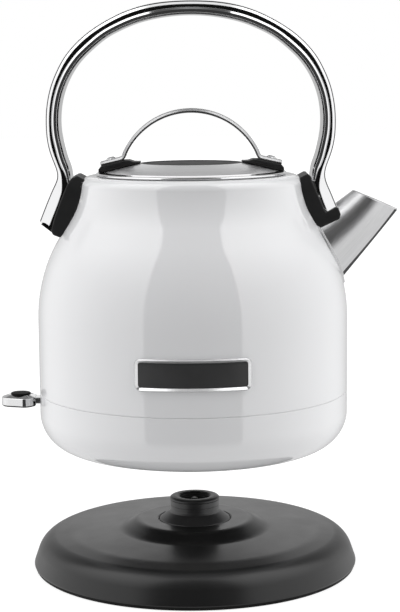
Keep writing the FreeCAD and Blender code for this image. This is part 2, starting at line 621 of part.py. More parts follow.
for sx, tag in ((1, "front"), (-1, "rear")):
    p = [(28.2, 224.3), (35.2, 226.1), (36.5, 225.9), (48.95, 223.0), (50.5, 221.2), (50.9, 219.6), (50.9, 217.0), (28.2, 219.0)]
    blank = slab("pad_%s_blank" % tag, [(sx * x, z) for x, z in p], S["pad_half"])
    seated = cut("pad_%s_seated" % tag, blank, lid_solid)
    x = S["lid_screw_offset"] * sx
    drill = cylinder("lid_drill_" + tag, 1.45, 14.0, x, 0, 215.5)
    sink = cylinder("lid_sink_" + tag, 2.7, 4.0, x, 0, 225.75)
    lid_drills.append(drill)
    strap_cuts += [drill, sink]
    pads.append(cut("lid_pad_" + tag, seated, drill))
    shank = cylinder("lid_shank_" + tag, 1.4, 10.0, x, 0, 216.3)
    low = cylinder("lid_head_" + tag, 2.6, 1.0, x, 0, 225.8)
    cap = doc.addObject("Part::Cone", "lid_cap_" + tag)
    cap.Radius1, cap.Radius2, cap.Height = 2.6, 1.3, 1.1
    place(cap, x, 0, 226.8)
    lid_screws.append(fuse("lid_screw_" + tag, shank, low, cap))
drills = fuse("lid_drills", *lid_drills)
node("lid_disc", cut("lid_disc", lid_blank, drills))
node("lid_pads", group("lid_pads", *pads))
node("lid_strap", cut("lid_strap", strap_blank, fuse("strap_cuts", *strap_cuts)))
node("lid_screws", group("lid_screws", *lid_screws))

# ---------------------------------------------------------------- switch lever
pc, po, pl = S["paddle_centre"], S["pivot_out"], S["pivot_level"]
disc = cylinder("paddle_disc", S["paddle_radius"], S["paddle_high"] - S["paddle_low"], -pc, 0, S["paddle_low"])
doc.recompute()
rounded = doc.addObject("Part::Fillet", "paddle_rounded")
rounded.Base = disc
rounded.Edges = [(i, size("paddle_edge"), size("paddle_edge")) for i, e in enumerate(disc.Shape.Edges, 1)
                 if e.Curve.TypeId == "Part::GeomCircle"]
neck = box("lever_neck", 16.0, 8.4, 4.6, -91.0, -4.2, 91.6)
hub = cylinder("lever_hub", S["hub_radius"], 13.8, -po, -6.9, pl, ROT_Y_AXIS)
arm = box("lever_arm", 6.2, 8.0, 2.6, -76.0, -4.0, 91.4)
lever_solid = fuse("lever_solid", rounded, neck, hub, arm)
lever_bore = cylinder("lever_bore", S["pin_radius"] + 0.05, 16.0, -po, -8.0, pl, ROT_Y_AXIS)
dish = cylinder("insert_dish", S["insert_radius"] + 0.1, 2.0, -pc, 0, S["paddle_high"] - 0.6)
node("switch_lever", cut("switch_lever", cut("lever_bored", lever_solid, lever_bore), dish))
node("lever_insert", cylinder("lever_insert", S["insert_radius"], 0.75, -pc, 0, S["paddle_high"] - 0.55))
node("switch_pin", cylinder("switch_pin", S["pin_radius"], 26.0, -po, -13.0, pl, ROT_Y_AXIS))
coils = [torus("spring_coil_%d" % i, 2.35, 0.5, -po, 7.7 + 0.9 * i, pl, ROT_Y_AXIS) for i in range(3)]
node("switch_spring", fuse("switch_spring", *coils))

ro, rl = S["rocker_out"], S["rocker_level"]
rocker_hub = cylinder("rocker_hub", 3.0, 11.6, -ro, -5.8, rl, ROT_Y_AXIS)
rocker_arm = box("rocker_arm", 16.0, 8.0, 2.4, -ro - 16.0, -4.0, rl - 1.2)
rocker_bore = cylinder("rocker_bore", 1.25, 14.0, -ro, -7.0, rl, ROT_Y_AXIS)
node("trip_rocker", cut("trip_rocker", fuse("rocker_solid", rocker_hub, rocker_arm), rocker_bore))
node("rocker_pin", cylinder("rocker_pin", 1.2, 16.8, -ro, -8.4, rl, ROT_Y_AXIS))

# ---------------------------------------------------------------- power base
bw = S["base_wall"]
cover_shape = turned("base_ring",
                     [(S["base_radius"] - 1.6, S["base_low"]), (S["base_radius"], S["base_wide_level"]),
                      (S["wall_end_radius"], S["wall_end_level"]), (S["edge_end_radius"], S["edge_end_level"]),
                      (S["crown_radius"], S["crown_up"]), (S["dais_foot_radius"], S["dais_foot_level"]),
                      (S["dais_radius"], S["dais_level"]), (S["dais_hole"], S["dais_level"]),
                      (S["dais_hole"], S["dais_level"] - bw), (S["dais_radius"] - 0.6, S["dais_level"] - bw),
                      (S["dais_foot_radius"] - 0.6, S["dais_foot_level"] - bw), (S["crown_radius"], S["crown_up"] - bw),
                      (S["edge_end_radius"] - 0.6, S["edge_end_level"] - bw),
                      (S["wall_end_radius"] - bw, S["wall_end_level"] - 0.6),
                      (S["base_radius"] - bw - 0.2, S["base_wide_level"] + 0.4),
                      (S["base_radius"] - bw - 1.2, S["base_low"])],
                     {2: (S["edge_bend"], "left"), 12: (S["edge_bend"] - bw, "right")})
studs, stud_drills, base_screws, floor_drills = [], [], [], []
for i, ang in enumerate((30, 150, 270)):
    c, s = math.cos(math.radians(ang)), math.sin(math.radians(ang))
    x, y = S["stud_ring"] * c, S["stud_ring"] * s
    studs.append(cylinder("stud_%d" % i, S["stud_radius"], S["crown_up"] - 1.0 - S["floor_high"] - 0.1, x, y,
                          S["floor_high"] + 0.1))
    stud_drills.append(cylinder("stud_drill_%d" % i, 1.55, 12.5, x, y, 2.0))
    shank = cylinder("base_shank_%d" % i, 1.5, 11.0, x, y, 2.3)
    head = cylinder("base_head_%d" % i, 3.0, 1.3, x, y, 1.05)
    base_screws.append(fuse("base_screw_%d" % i, shank, head))
    floor_drills += [cylinder("floor_sink_%d" % i, 3.1, 1.55, x, y, 0.9), cylinder("floor_drill_%d" % i, 1.6, 3.0, x, y, 0.9)]
gland_hole = cylinder("gland_hole", S["gland_radius"] + 0.05, 14.0, 0, 78.0, S["gland_level"], ROT_Y_AXIS)
cover_full = fuse("base_cover_full", cover_shape, *studs)
node("base_cover", cut("base_cover", cut("base_cover_drilled", cover_full, fuse("stud_drills", *stud_drills)), gland_hole))
floor_blank = cylinder("floor_blank", S["floor_radius"], S["floor_high"] - S["floor_low"], 0, 0, S["floor_low"])
node("base_floor", cut("base_floor", floor_blank, fuse("floor_drills", *floor_drills)))
node("base_screws", group("base_screws", *base_screws))
node("foot_ring", turned("foot_ring",
                         [(S["foot_ring_inner"], 0), (S["foot_ring_outer"], 0), (S["foot_ring_outer"], S["floor_low"] - 0.02),
                          (S["foot_ring_inner"], S["floor_low"] - 0.02)]))

node("connector_post", turned("connector_post",
                              [(0, S["dais_level"] - 5.0), (S["post_flange"], S["dais_level"] - 5.0),
                               (S["post_flange"], S["dais_level"] - bw - 0.1), (S["post_foot"], S["dais_level"] - bw - 0.1),
                               (S["post_foot"], S["dais_level"] + 0.1), (S["post_radius"], 29.9),
                               (S["post_radius"], S["post_shoulder"]), (S["post_neck"], S["post_shoulder"]),
                               (S["post_neck"], S["post_top"]), (S["post_recess"], S["post_top"]),
                               (S["post_recess"], S["recess_floor"]), (0, S["recess_floor"])]))
node("swivel_ring", turned("swivel_ring",
                           [(S["ring_bore"], S["ring_low"]), (S["ring_radius"], S["ring_low"]),
                            (S["ring_radius"], S["ring_top"] - S["ring_bend"]),
                            (S["ring_radius"] - S["ring_bend"], S["ring_top"]), (S["ring_eye"], S["ring_top"]),
                            (S["ring_eye"], S["post_top"] + 0.1), (S["ring_bore"], S["post_top"] + 0.1)],
                           {2: (S["ring_bend"], "left")}))
node("contact_pin", cylinder("contact_pin", S["contact_radius"], S["contact_top"] - S["recess_floor"] - 0.05, 0, 0,
                             S["recess_floor"] + 0.05))
node("contact_ring", turned("contact_ring",
                            [(7.2, S["recess_floor"] + 0.05), (S["post_recess"] - 0.05, S["recess_floor"] + 0.05),
                             (S["post_recess"] - 0.05, S["recess_floor"] + 2.0), (7.2, S["recess_floor"] + 2.0)]))
sleeve = cylinder("gland_sleeve", S["gland_radius"], 8.5, 0, 81.0, S["gland_level"], ROT_Y_AXIS)
collar_in = cylinder("gland_collar", S["gland_radius"] + 1.0, 2.0, 0, 81.0, S["gland_level"], ROT_Y_AXIS)
gland_bore = cylinder("gland_eye", S["gland_bore"], 12.0, 0, 80.0, S["gland_level"], ROT_Y_AXIS)
node("cord_gland", cut("cord_gland", fuse("gland_solid", sleeve, collar_in), gland_bore))
node("terminal_block", box("terminal_block", 26.0, 12.0, 9.0, -13.0, 40.0, S["floor_high"] + 0.05))

# three leads from the terminal block, bent up to the underside of the post
leads = []
rise, bend, wire_r = size("dais_level") - 5.05, size("wire_bend"), size("wire_radius")
for i, x in enumerate((-7.0, 0.0, 7.0)):
    y0, y1, z0 = 39.95, 14.0, 8.0
    a, b = V(x, y0, z0), V(x, y1 + bend, z0)
    c = V(x, y1, z0 + bend)
    m = V(x, y1 + bend - bend * math.sin(math.radians(45)), z0 + bend - bend * math.cos(math.radians(45)))
    e = V(x, y1, rise)
    path = Part.Wire([Part.LineSegment(a, b).toShape(), Part.Arc(b, m, c).toShape(), Part.LineSegment(c, e).toShape()])
    prof = Part.Wire([Part.Circle(a, V(0, -1, 0), wire_r).toShape()])
    leads.append(path.makePipeShell([prof], True, True))
lead_wires = doc.addObject("Part::Feature", "lead_wires")
lead_wires.Shape = Part.makeCompound(leads)
node("lead_wires", lead_wires)

# ---------------------------------------------------------------- checks and files
doc.recompute()
bad = []
for obj in doc.Objects:
    if any(word in ("Invalid", "Error") for word in obj.State):
        bad.append("%s %s" % (obj.Name, obj.State))
for name, obj in NODES.items():
    shape = obj.Shape
    if shape.isNull() or not shape.isValid() or not shape.Solids:
        bad.append("shape of " + name)
if bad:
    raise RuntimeError("failed: " + "; ".join(bad))

os.makedirs("parts", exist_ok=True)
for name, obj in NODES.items():
    obj.Shape.exportStep("parts/%s.step" % name)
    b = obj.Shape.BoundBox
    print("%-18s solids %d  volume %9.0f  x %.1f..%.1f y %.1f..%.1f z %.1f..%.1f"
          % (name, len(obj.Shape.Solids), obj.Shape.Volume, b.XMin, b.XMax, b.YMin, b.YMax, b.ZMin, b.ZMax))
print(len(NODES), "nodes")
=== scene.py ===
import math

import bmesh
import bpy
import numpy as np
from mathutils import Matrix, Vector
from mathutils.geometry import tessellate_polygon


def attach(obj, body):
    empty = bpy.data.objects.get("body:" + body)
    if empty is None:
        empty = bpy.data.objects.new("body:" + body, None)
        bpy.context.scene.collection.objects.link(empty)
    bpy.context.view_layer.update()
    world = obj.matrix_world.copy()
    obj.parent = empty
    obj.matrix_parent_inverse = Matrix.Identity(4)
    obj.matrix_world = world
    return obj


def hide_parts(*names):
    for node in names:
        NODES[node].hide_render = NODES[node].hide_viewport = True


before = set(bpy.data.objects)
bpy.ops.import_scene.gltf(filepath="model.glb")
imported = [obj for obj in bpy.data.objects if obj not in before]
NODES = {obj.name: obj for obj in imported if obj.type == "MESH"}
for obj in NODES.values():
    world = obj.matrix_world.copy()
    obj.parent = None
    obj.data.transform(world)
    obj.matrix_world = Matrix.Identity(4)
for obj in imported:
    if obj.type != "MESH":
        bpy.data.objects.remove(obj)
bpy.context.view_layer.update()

SCENE = bpy.context.scene
MM = 0.001
PI = math.pi


# ------------------------------------------------------------------ sections
def rad(a):
    return math.radians(a)


def section(items, closed=True, step=7.0):
    """Dense outline with exact normals. items: (x, z), (x, z, fillet) or
    ("arc", cx, cz, r, a0, a1). The outside is on the right of the way it runs.
    A negative step gives every fillet that many parts."""
    pts, arcs = [], {}
    for it in items:
        if it[0] == "arc":
            _, cx, cz, r, a0, a1 = it
            p0 = (cx + r * math.cos(rad(a0)), cz + r * math.sin(rad(a0)))
            p1 = (cx + r * math.cos(rad(a1)), cz + r * math.sin(rad(a1)))
            if not pts or math.hypot(pts[-1][0] - p0[0], pts[-1][1] - p0[1]) > 0.02:
                pts.append((p0[0], p0[1], 0.0))
            arcs[len(pts) - 1] = (cx, cz, r, a0, a1)
            pts.append((p1[0], p1[1], 0.0))
        else:
            x, z = it[0], it[1]
            f = it[2] if len(it) > 2 else 0.0
            if pts and math.hypot(pts[-1][0] - x, pts[-1][1] - z) < 0.02:
                continue
            pts.append((x, z, f))
    if closed and math.hypot(pts[0][0] - pts[-1][0], pts[0][1] - pts[-1][1]) < 0.02:
        pts.pop()
    n = len(pts)
    out = []

    def emit(x, z, nx, nz):
        if out and math.hypot(out[-1][0] - x, out[-1][1] - z) < 1e-5 and out[-1][2] * nx + out[-1][3] * nz > 0.9995:
            return
        out.append((x, z, nx, nz))

    def line_dir(i):
        a, b = pts[i % n], pts[(i + 1) % n]
        dx, dz = b[0] - a[0], b[1] - a[1]
        ln = math.hypot(dx, dz) or 1.0
        return dx / ln, dz / ln, ln

    def arc_normal(i, end):
        cx, cz, r, a0, a1 = arcs[i]
        a = rad(a1 if end else a0)
        s = 1.0 if a1 > a0 else -1.0
        return s * math.cos(a), s * math.sin(a)

    for i in range(n):
        x, z, f = pts[i]
        first, last = (not closed and i == 0), (not closed and i == n - 1)
        before = None if first else (i - 1) % n
        after = None if last else i
        if f > 0 and before is not None and after is not None and before not in arcs and after not in arcs:
            d1, d2 = line_dir(before), line_dir(after)
            turn = math.atan2(d1[0] * d2[1] - d1[1] * d2[0], d1[0] * d2[0] + d1[1] * d2[1])
            if abs(turn) > 1e-3:
                t = f * math.tan(abs(turn) / 2)
                limit = 0.499 * min(d1[2], d2[2])
                if t > limit:
                    f *= limit / t
                    t = limit
                s = 1.0 if turn > 0 else -1.0
                ax, az = x - d1[0] * t, z - d1[1] * t
                cx, cz = ax - s * d1[1] * f, az + s * d1[0] * f
                k = max(3, int(abs(math.degrees(turn)) / step) + 1) if step > 0 else int(-step)
                n1 = (d1[1], -d1[0])
                for j in range(k + 1):
                    a = turn * j / k
                    nx = n1[0] * math.cos(a) - n1[1] * math.sin(a)
                    nz = n1[0] * math.sin(a) + n1[1] * math.cos(a)
                    emit(cx + s * f * nx, cz + s * f * nz, nx, nz)
            else:
                emit(x, z, d2[1], -d2[0])
        else:
            if before is not None:
                if before in arcs:
                    emit(x, z, *arc_normal(before, True))
                else:
                    d = line_dir(before)
                    emit(x, z, d[1], -d[0])
            if after is not None:
                if after in arcs:
                    emit(x, z, *arc_normal(after, False))
                else:
                    d = line_dir(after)
                    emit(x, z, d[1], -d[0])
        if after is not None and after in arcs:
            cx, cz, r, a0, a1 = arcs[after]
            k = max(3, int(abs(a1 - a0) / step) + 1)
            s = 1.0 if a1 > a0 else -1.0
            for j in range(1, k):
                a = rad(a0 + (a1 - a0) * j / k)
                emit(cx + r * math.cos(a), cz + r * math.sin(a), s * math.cos(a), s * math.sin(a))
    return out


def arc_between(a, b, r, side, ccw):
    """("arc", ...) item from a to b with radius r; the centre is on that side of the chord."""
    dx, dz = b[0] - a[0], b[1] - a[1]
    c = math.hypot(dx, dz)
    h = math.sqrt(max(r * r - c * c / 4, 0.0))
    lx, lz = -dz / c, dx / c
    if side == "right":
        lx, lz = -lx, -lz
    cx, cz = (a[0] + b[0]) / 2 + lx * h, (a[1] + b[1]) / 2 + lz * h
    a0 = math.degrees(math.atan2(a[1] - cz, a[0] - cx))
    a1 = math.degrees(math.atan2(b[1] - cz, b[0] - cx))
    if ccw and a1 < a0:
        a1 += 360
    if not ccw and a1 > a0:
        a1 -= 360
    return ("arc", cx, cz, r, a0, a1)


# ------------------------------------------------------------------ meshes
def make(name, verts, faces, normals=None, smooth=True, cut_caps=False):
    me = bpy.data.meshes.new(name)
    v = np.asarray(verts, float) * MM
    if cut_caps:
        cut = []
        for f in faces:
            if len(f) > 4:
                cut += [[f[i] for i in tri] for tri in tessellate_polygon([[Vector(v[i] / MM) for i in f]])]
            else:
                cut.append(f)
        faces = cut
    if normals is not None:
        # faces run the way their normals point
        nn = np.asarray(normals, float)
        turned_faces = []
        for f in faces:
            q = v[f]
            g = np.cross(q[1:-1] - q[0], q[2:] - q[0]).sum(0)
            turned_faces.append(f if g @ nn[f].sum(0) >= 0 else f[::-1])
        faces = turned_faces
    me.from_pydata(v.tolist(), [], [tuple(int(i) for i in f) for f in faces])
    me.polygons.foreach_set("use_smooth", [smooth] * len(me.polygons))
    if normals is not None:
        nn = np.asarray(normals, float)
        nn /= np.maximum(np.linalg.norm(nn, axis=1), 1e-9)[:, None]
        me.normals_split_custom_set_from_vertices(nn.tolist())
    me.update()
    ob = bpy.data.objects.new(name, me)
    SCENE.collection.objects.link(ob)
    return ob


def turn_data(prof, segs=160, closed=True, place=None, start=0):
    """Vertices, faces and normals of a section turned about Z. place maps (x, y, z) rows."""
    verts, norms, rings = [], [], []
    for x, z, nx, nz in prof:
        if x < 1e-6:
            rings.append([len(verts)] * segs)
            verts.append((0.0, 0.0, z))
            norms.append((0.0, 0.0, 1.0 if nz >= 0 else -1.0))
        else:
            base = len(verts)
            for j in range(segs):
                a = 2 * PI * j / segs
                c, s = math.cos(a), math.sin(a)
                verts.append((x * c, x * s, z))
                norms.append((nx * c, nx * s, nz))
            rings.append(list(range(base, base + segs)))
    faces = []
    m = len(prof)
    for i in range(m if closed else m - 1):
        k = (i + 1) % m
        if math.hypot(prof[i][0] - prof[k][0], prof[i][1] - prof[k][1]) < 1e-6:
            continue
        if prof[i][0] < 1e-6 and prof[k][0] < 1e-6:
            continue
        A, B = rings[i], rings[k]
        for j in range(segs):
            q = [A[j], A[(j + 1) % segs], B[(j + 1) % segs], B[j]]
            f = []
            for v in q:
                if v not in f:
                    f.append(v)
            if len(f) > 2:
                faces.append([v + start for v in f])
    V, N = np.array(verts), np.array(norms)
    if place is not None:
        R, t = place
        V = V @ R.T + t
        N = N @ R.T
    return V, faces, N


def welded(prof):
    out = []
    for p in prof:
        if out and math.hypot(out[-1][0] - p[0], out[-1][1] - p[1]) < 1e-4:
            continue
        out.append(p)
    if math.hypot(out[0][0] - out[-1][0], out[0][1] - out[-1][1]) < 1e-4:
        out.pop()
    return out


def turned(name, items, segs=160, closed=True, step=7.0, place=None):
    prof = items if len(items[0]) == 4 and items[0][0] != "arc" else section(items, closed, step)
    V, F, N = turn_data(prof, segs, closed, place)
    return make(name, V, F, N)


def frame_to(axis_x, axis_y, axis_z, origin):
    return np.array([axis_x, axis_y, axis_z], float).T, np.array(origin, float)


def merge_data(parts):
    V, F, N = [], [], []
    k = 0
    for v, f, n in parts:
        V.append(v)
        N.append(n)
        F += [[i + k for i in q] for q in f]
        k += len(v)
    return np.vstack(V), F, np.vstack(N)


def slab_data(prof, half, edge, steps=5, low=None):
    """A slab of the closed outline prof, from y -half to half, with its rims rounded by edge.
    Coordinates come out as (x, y, z)."""
    lo, hi = (-half, half) if low is None else (low, half)
    n = len(prof)
    P = np.array([(p[0], p[1]) for p in prof])
    M = np.array([(p[2], p[3]) for p in prof])
    rings = []
    for k in range(steps + 1):
        a = PI / 2 * k / steps
        rings.append((edge * (1 - math.sin(a)), lo + edge * (1 - math.cos(a)), math.sin(a), -math.cos(a)))
    for k in range(steps, -1, -1):
        a = PI / 2 * k / steps
        rings.append((edge * (1 - math.sin(a)), hi - edge * (1 - math.cos(a)), math.sin(a), math.cos(a)))
    V, N, F = [], [], []
    for inset, y, side, along in rings:
        Q = P - M * inset
        for i in range(n):
            V.append((Q[i, 0], y, Q[i, 1]))
            N.append((M[i, 0] * side, along, M[i, 1] * side))
    for r in range(len(rings) - 1):
        for i in range(n):
            j = (i + 1) % n
            if np.hypot(*(P[i] - P[j])) < 1e-6:
                continue
            F.append([r * n + i, r * n + j, (r + 1) * n + j, (r + 1) * n + i])
    keep = [i for i in range(n) if np.hypot(*(P[i] - P[i - 1])) > 1e-6]
    F.append(keep[::-1])
    last = (len(rings) - 1) * n
    F.append([last + i for i in keep])
    return np.array(V), F, np.array(N)


def sweep_data(stations, cap_round=0.0, caps=True):
    """stations: [(origin (3), across (3), side (3), ring [(u, y, nu, ny)])] in order; every ring has the
    same number of points. The ring runs anticlockwise seen against the way the stations run."""
    V, N, F = [], [], []
    n = len(stations[0][3])
    S = []
    pos = [np.array(s[0], float) for s in stations]

    def ring_of(s, inset, shift, lean, along):
        o, a, b, ring = s
        out_v, out_n = [], []
        for u, y, nu, ny in ring:
            uu, yy = u - nu * inset, y - ny * inset
            out_v.append(np.array(o) + np.array(a) * uu + np.array(b) * yy + along * shift)
            out_n.append((np.array(a) * nu + np.array(b) * ny) * math.cos(lean) + along * math.sin(lean))
        return out_v, out_n

    def way(i):
        a = pos[min(i + 1, len(pos) - 1)] - pos[max(i - 1, 0)]
        return a / (np.linalg.norm(a) or 1.0)

    rows = []
    k = 5
    if cap_round > 0:
        for j in range(k):
            lean = PI / 2 * (1 - j / k)
            rows.append(ring_of(stations[0], cap_round * (1 - math.cos(lean)), cap_round * (1 - math.sin(lean)), -0.0, way(0)))
            rows[-1] = (rows[-1][0], [nn * math.cos(lean) - way(0) * math.sin(lean) for nn in rows[-1][1]])
    for i, s in enumerate(stations):
        if cap_round > 0 and i in (0, len(stations) - 1):
            sh = cap_round if i == 0 else -cap_round
            v, nn = ring_of(s, 0, sh, 0, way(i))
        else:
            v, nn = ring_of(s, 0, 0, 0, way(i))
        T = way(i)
        nn = [x - T * float(x @ T) for x in nn]
        rows.append((v, nn))
    if cap_round > 0:
        e = len(stations) - 1
        for j in range(1, k + 1):
            lean = PI / 2 * j / k
            r = ring_of(stations[e], cap_round * (1 - math.cos(lean)), -cap_round * (1 - math.sin(lean)), 0, way(e))
            rows.append((r[0], [nn * math.cos(lean) + way(e) * math.sin(lean) for nn in r[1]]))
    for v, nn in rows:
        V += v
        N += nn
    m = len(rows)
    for r in range(m - 1):
        for i in range(n):
            j = (i + 1) % n
            F.append([r * n + i, r * n + j, (r + 1) * n + j, (r + 1) * n + i])
    if caps:
        F.append(list(range(n))[::-1])
        F.append([(m - 1) * n + i for i in range(n)])
    return np.array(V), F, np.array(N)


def set_normals(ob, fn):
    """Custom normals by fn(points, face normals) for every corner."""
    me = ob.data
    co = np.zeros(len(me.vertices) * 3)
    me.vertices.foreach_get("co", co)
    co = co.reshape(-1, 3) / MM
    lv = np.zeros(len(me.loops), int)
    me.loops.foreach_get("vertex_index", lv)
    fnorm = np.zeros(len(me.polygons) * 3)
    me.polygons.foreach_get("normal", fnorm)
    fnorm = fnorm.reshape(-1, 3)
    starts = np.zeros(len(me.polygons), int)
    totals = np.zeros(len(me.polygons), int)
    me.polygons.foreach_get("loop_start", starts)
    me.polygons.foreach_get("loop_total", totals)
    owner = np.repeat(np.arange(len(me.polygons)), totals)
    out = fn(co[lv], fnorm[owner])
    me.polygons.foreach_set("use_smooth", [True] * len(me.polygons))
    me.normals_split_custom_set(out.tolist())
    me.update()


def turned_normals(prof):
    """fn for set_normals: the normal of a turned section where the face agrees with it."""
    P = np.array([(p[0], p[1]) for p in prof])
    M = np.array([(p[2], p[3]) for p in prof])
    A, B = P, np.roll(P, -1, 0)
    MA, MB = M, np.roll(M, -1, 0)

    def fn(pts, fn_):
        r = np.hypot(pts[:, 0], pts[:, 1])
        q = np.stack([r, pts[:, 2]], 1)
        out = np.zeros_like(pts)
        d = B - A
        dd = np.maximum((d * d).sum(1), 1e-12)
        for s in range(0, len(q), 4000):
            qq = q[s:s + 4000]
            t = np.clip(((qq[:, None, :] - A[None]) * d[None]).sum(2) / dd[None], 0, 1)
            near = A[None] + d[None] * t[..., None]
            k = ((near - qq[:, None, :]) ** 2).sum(2).argmin(1)
            tt = t[np.arange(len(qq)), k][:, None]
            m = MA[k] * (1 - tt) + MB[k] * tt
            rr = np.maximum(r[s:s + 4000], 1e-6)
            nn = np.stack([m[:, 0] * pts[s:s + 4000, 0] / rr, m[:, 0] * pts[s:s + 4000, 1] / rr, m[:, 1]], 1)
            nn /= np.maximum(np.linalg.norm(nn, axis=1), 1e-9)[:, None]
            f = fn_[s:s + 4000]
            agree = (nn * f).sum(1) > 0.9
            out[s:s + 4000] = np.where(agree[:, None], nn, f)
        return out
    return fn


def carve(ob, cutters):
    """Boolean difference, applied; the cutters go away."""
    for c in cutters:
        m = ob.modifiers.new("cut", "BOOLEAN")
        m.operation = "DIFFERENCE"
        m.solver = "EXACT"
        m.object = c
    bpy.context.view_layer.update()
    dg = bpy.context.evaluated_depsgraph_get()
    me = bpy.data.meshes.new_from_object(ob.evaluated_get(dg))
    old = ob.data
    ob.modifiers.clear()
    ob.data = me
    me.name = old.name
    bpy.data.meshes.remove(old)
    for c in cutters:
        d = c.data
        bpy.data.objects.remove(c)
        bpy.data.meshes.remove(d)
    return ob


# ------------------------------------------------------------------ materials
class Mat:
    """A node material with small helpers."""

    def __init__(self, name, **sockets):
        self.m = bpy.data.materials.new(name)
        self.m.use_nodes = True
        self.t = self.m.node_tree
        self.b = self.t.nodes["Principled BSDF"]
        for k, v in sockets.items():
            self.b.inputs[k.replace("_", " ")].default_value = v
        self.co = self.t.nodes.new("ShaderNodeTexCoord").outputs["Object"]

    def link(self, a, b):
        self.t.links.new(a, b)

    def scaled(self, sx, sy, sz, rot=(0, 0, 0), vec=None):
        vec = vec or self.co
        if any(rot):
            r = self.t.nodes.new("ShaderNodeMapping")
            r.inputs["Rotation"].default_value = rot
            self.link(vec, r.inputs["Vector"])
            vec = r.outputs["Vector"]
        n = self.t.nodes.new("ShaderNodeMapping")
        n.inputs["Scale"].default_value = (sx, sy, sz)
        self.link(vec, n.inputs["Vector"])
        return n.outputs["Vector"]

    def noise(self, scale, detail=3.0, rough=0.5, vec=None, distort=0.0):
        n = self.t.nodes.new("ShaderNodeTexNoise")
        n.inputs["Scale"].default_value = scale
        n.inputs["Detail"].default_value = detail
        n.inputs["Roughness"].default_value = rough
        n.inputs["Distortion"].default_value = distort
        self.link(vec or self.co, n.inputs["Vector"])
        return n.outputs["Fac"]

    def cells(self, scale, vec=None):
        n = self.t.nodes.new("ShaderNodeTexVoronoi")
        n.inputs["Scale"].default_value = scale
        self.link(vec or self.co, n.inputs["Vector"])
        return n.outputs["Distance"]

    def math(self, op, a, b=None, clamp=False):
        n = self.t.nodes.new("ShaderNodeMath")
        n.operation = op
        n.use_clamp = clamp
        for i, v in enumerate((a, b)):
            if v is None:
                continue
            if isinstance(v, (int, float)):
                n.inputs[i].default_value = v
            else:
                self.link(v, n.inputs[i])
        return n.outputs[0]

    def ramp(self, fac, stops):
        n = self.t.nodes.new("ShaderNodeValToRGB")
        el = n.color_ramp.elements
        while len(el) > 1:
            el.remove(el[-1])
        for i, (p, c) in enumerate(stops):
            e = el[0] if i == 0 else el.new(p)
            e.position = p
            e.color = (c, c, c, 1) if isinstance(c, (int, float)) else (*c, 1)
        self.link(fac, n.inputs["Fac"])
        return n.outputs["Color"]

    def mapped(self, fac, lo, hi, a=0.0, b=1.0):
        n = self.t.nodes.new("ShaderNodeMapRange")
        n.inputs["From Min"].default_value = a
        n.inputs["From Max"].default_value = b
        n.inputs["To Min"].default_value = lo
        n.inputs["To Max"].default_value = hi
        self.link(fac, n.inputs["Value"])
        return n.outputs["Result"]

    def bump(self, height, strength, distance=0.001, normal=None):
        n = self.t.nodes.new("ShaderNodeBump")
        n.inputs["Strength"].default_value = strength
        n.inputs["Distance"].default_value = distance
        self.link(height, n.inputs["Height"])
        if normal is not None:
            self.link(normal, n.inputs["Normal"])
        return n.outputs["Normal"]

    def color(self, out):
        self.link(out, self.b.inputs["Base Color"])

    def rough(self, out):
        self.link(out, self.b.inputs["Roughness"])

    def normal(self, out):
        self.link(out, self.b.inputs["Normal"])


def enamel():
    k = Mat("white_enamel", IOR=1.7)
    k.color(k.ramp(k.noise(9, 3, 0.55), [(0.3, (0.755, 0.757, 0.77)), (0.7, (0.78, 0.782, 0.792))]))
    k.rough(k.mapped(k.noise(60, 4, 0.6), 0.05, 0.085, 0.3, 0.7))
    k.normal(k.bump(k.noise(190, 2, 0.4), 0.02, 0.0004))
    return k.m


def chrome(name="chrome_plate", tone=0.68, low=0.03, high=0.075):
    k = Mat(name, Metallic=1.0)
    k.color(k.ramp(k.noise(14, 3, 0.5), [(0.3, (tone * 0.975, tone * 0.98, tone * 0.99)), (0.7, (tone, tone, tone * 1.005))]))
    smear = k.noise(35, 4, 0.6, k.scaled(1, 1, 2.2))
    k.rough(k.mapped(smear, low, high, 0.35, 0.75))
    k.normal(k.bump(k.noise(2600, 2, 0.5), 0.012, 0.0002))
    return k.m


def brushed(name, scale, rot=(0, 0, 0), dark=0.46, light=0.62, low=0.24, high=0.40, aniso=0.0, strength=0.10):
    """Steel with fine streaks; scale is (along, across, across) and rot turns it."""
    k = Mat(name, Metallic=1.0, Anisotropic=aniso)
    v = k.scaled(*scale, rot=rot)
    fine = k.noise(1.0, 5, 0.65, v)
    wide = k.noise(0.22, 3, 0.5, v)
    both = k.math("ADD", k.math("MULTIPLY", fine, 0.65), k.math("MULTIPLY", wide, 0.35))
    k.color(k.ramp(both, [(0.32, (dark, dark, dark * 1.012)), (0.68, (light, light, light * 1.008))]))
    k.rough(k.mapped(fine, low, high, 0.3, 0.7))
    k.normal(k.bump(fine, strength, 0.0002))
    return k.m


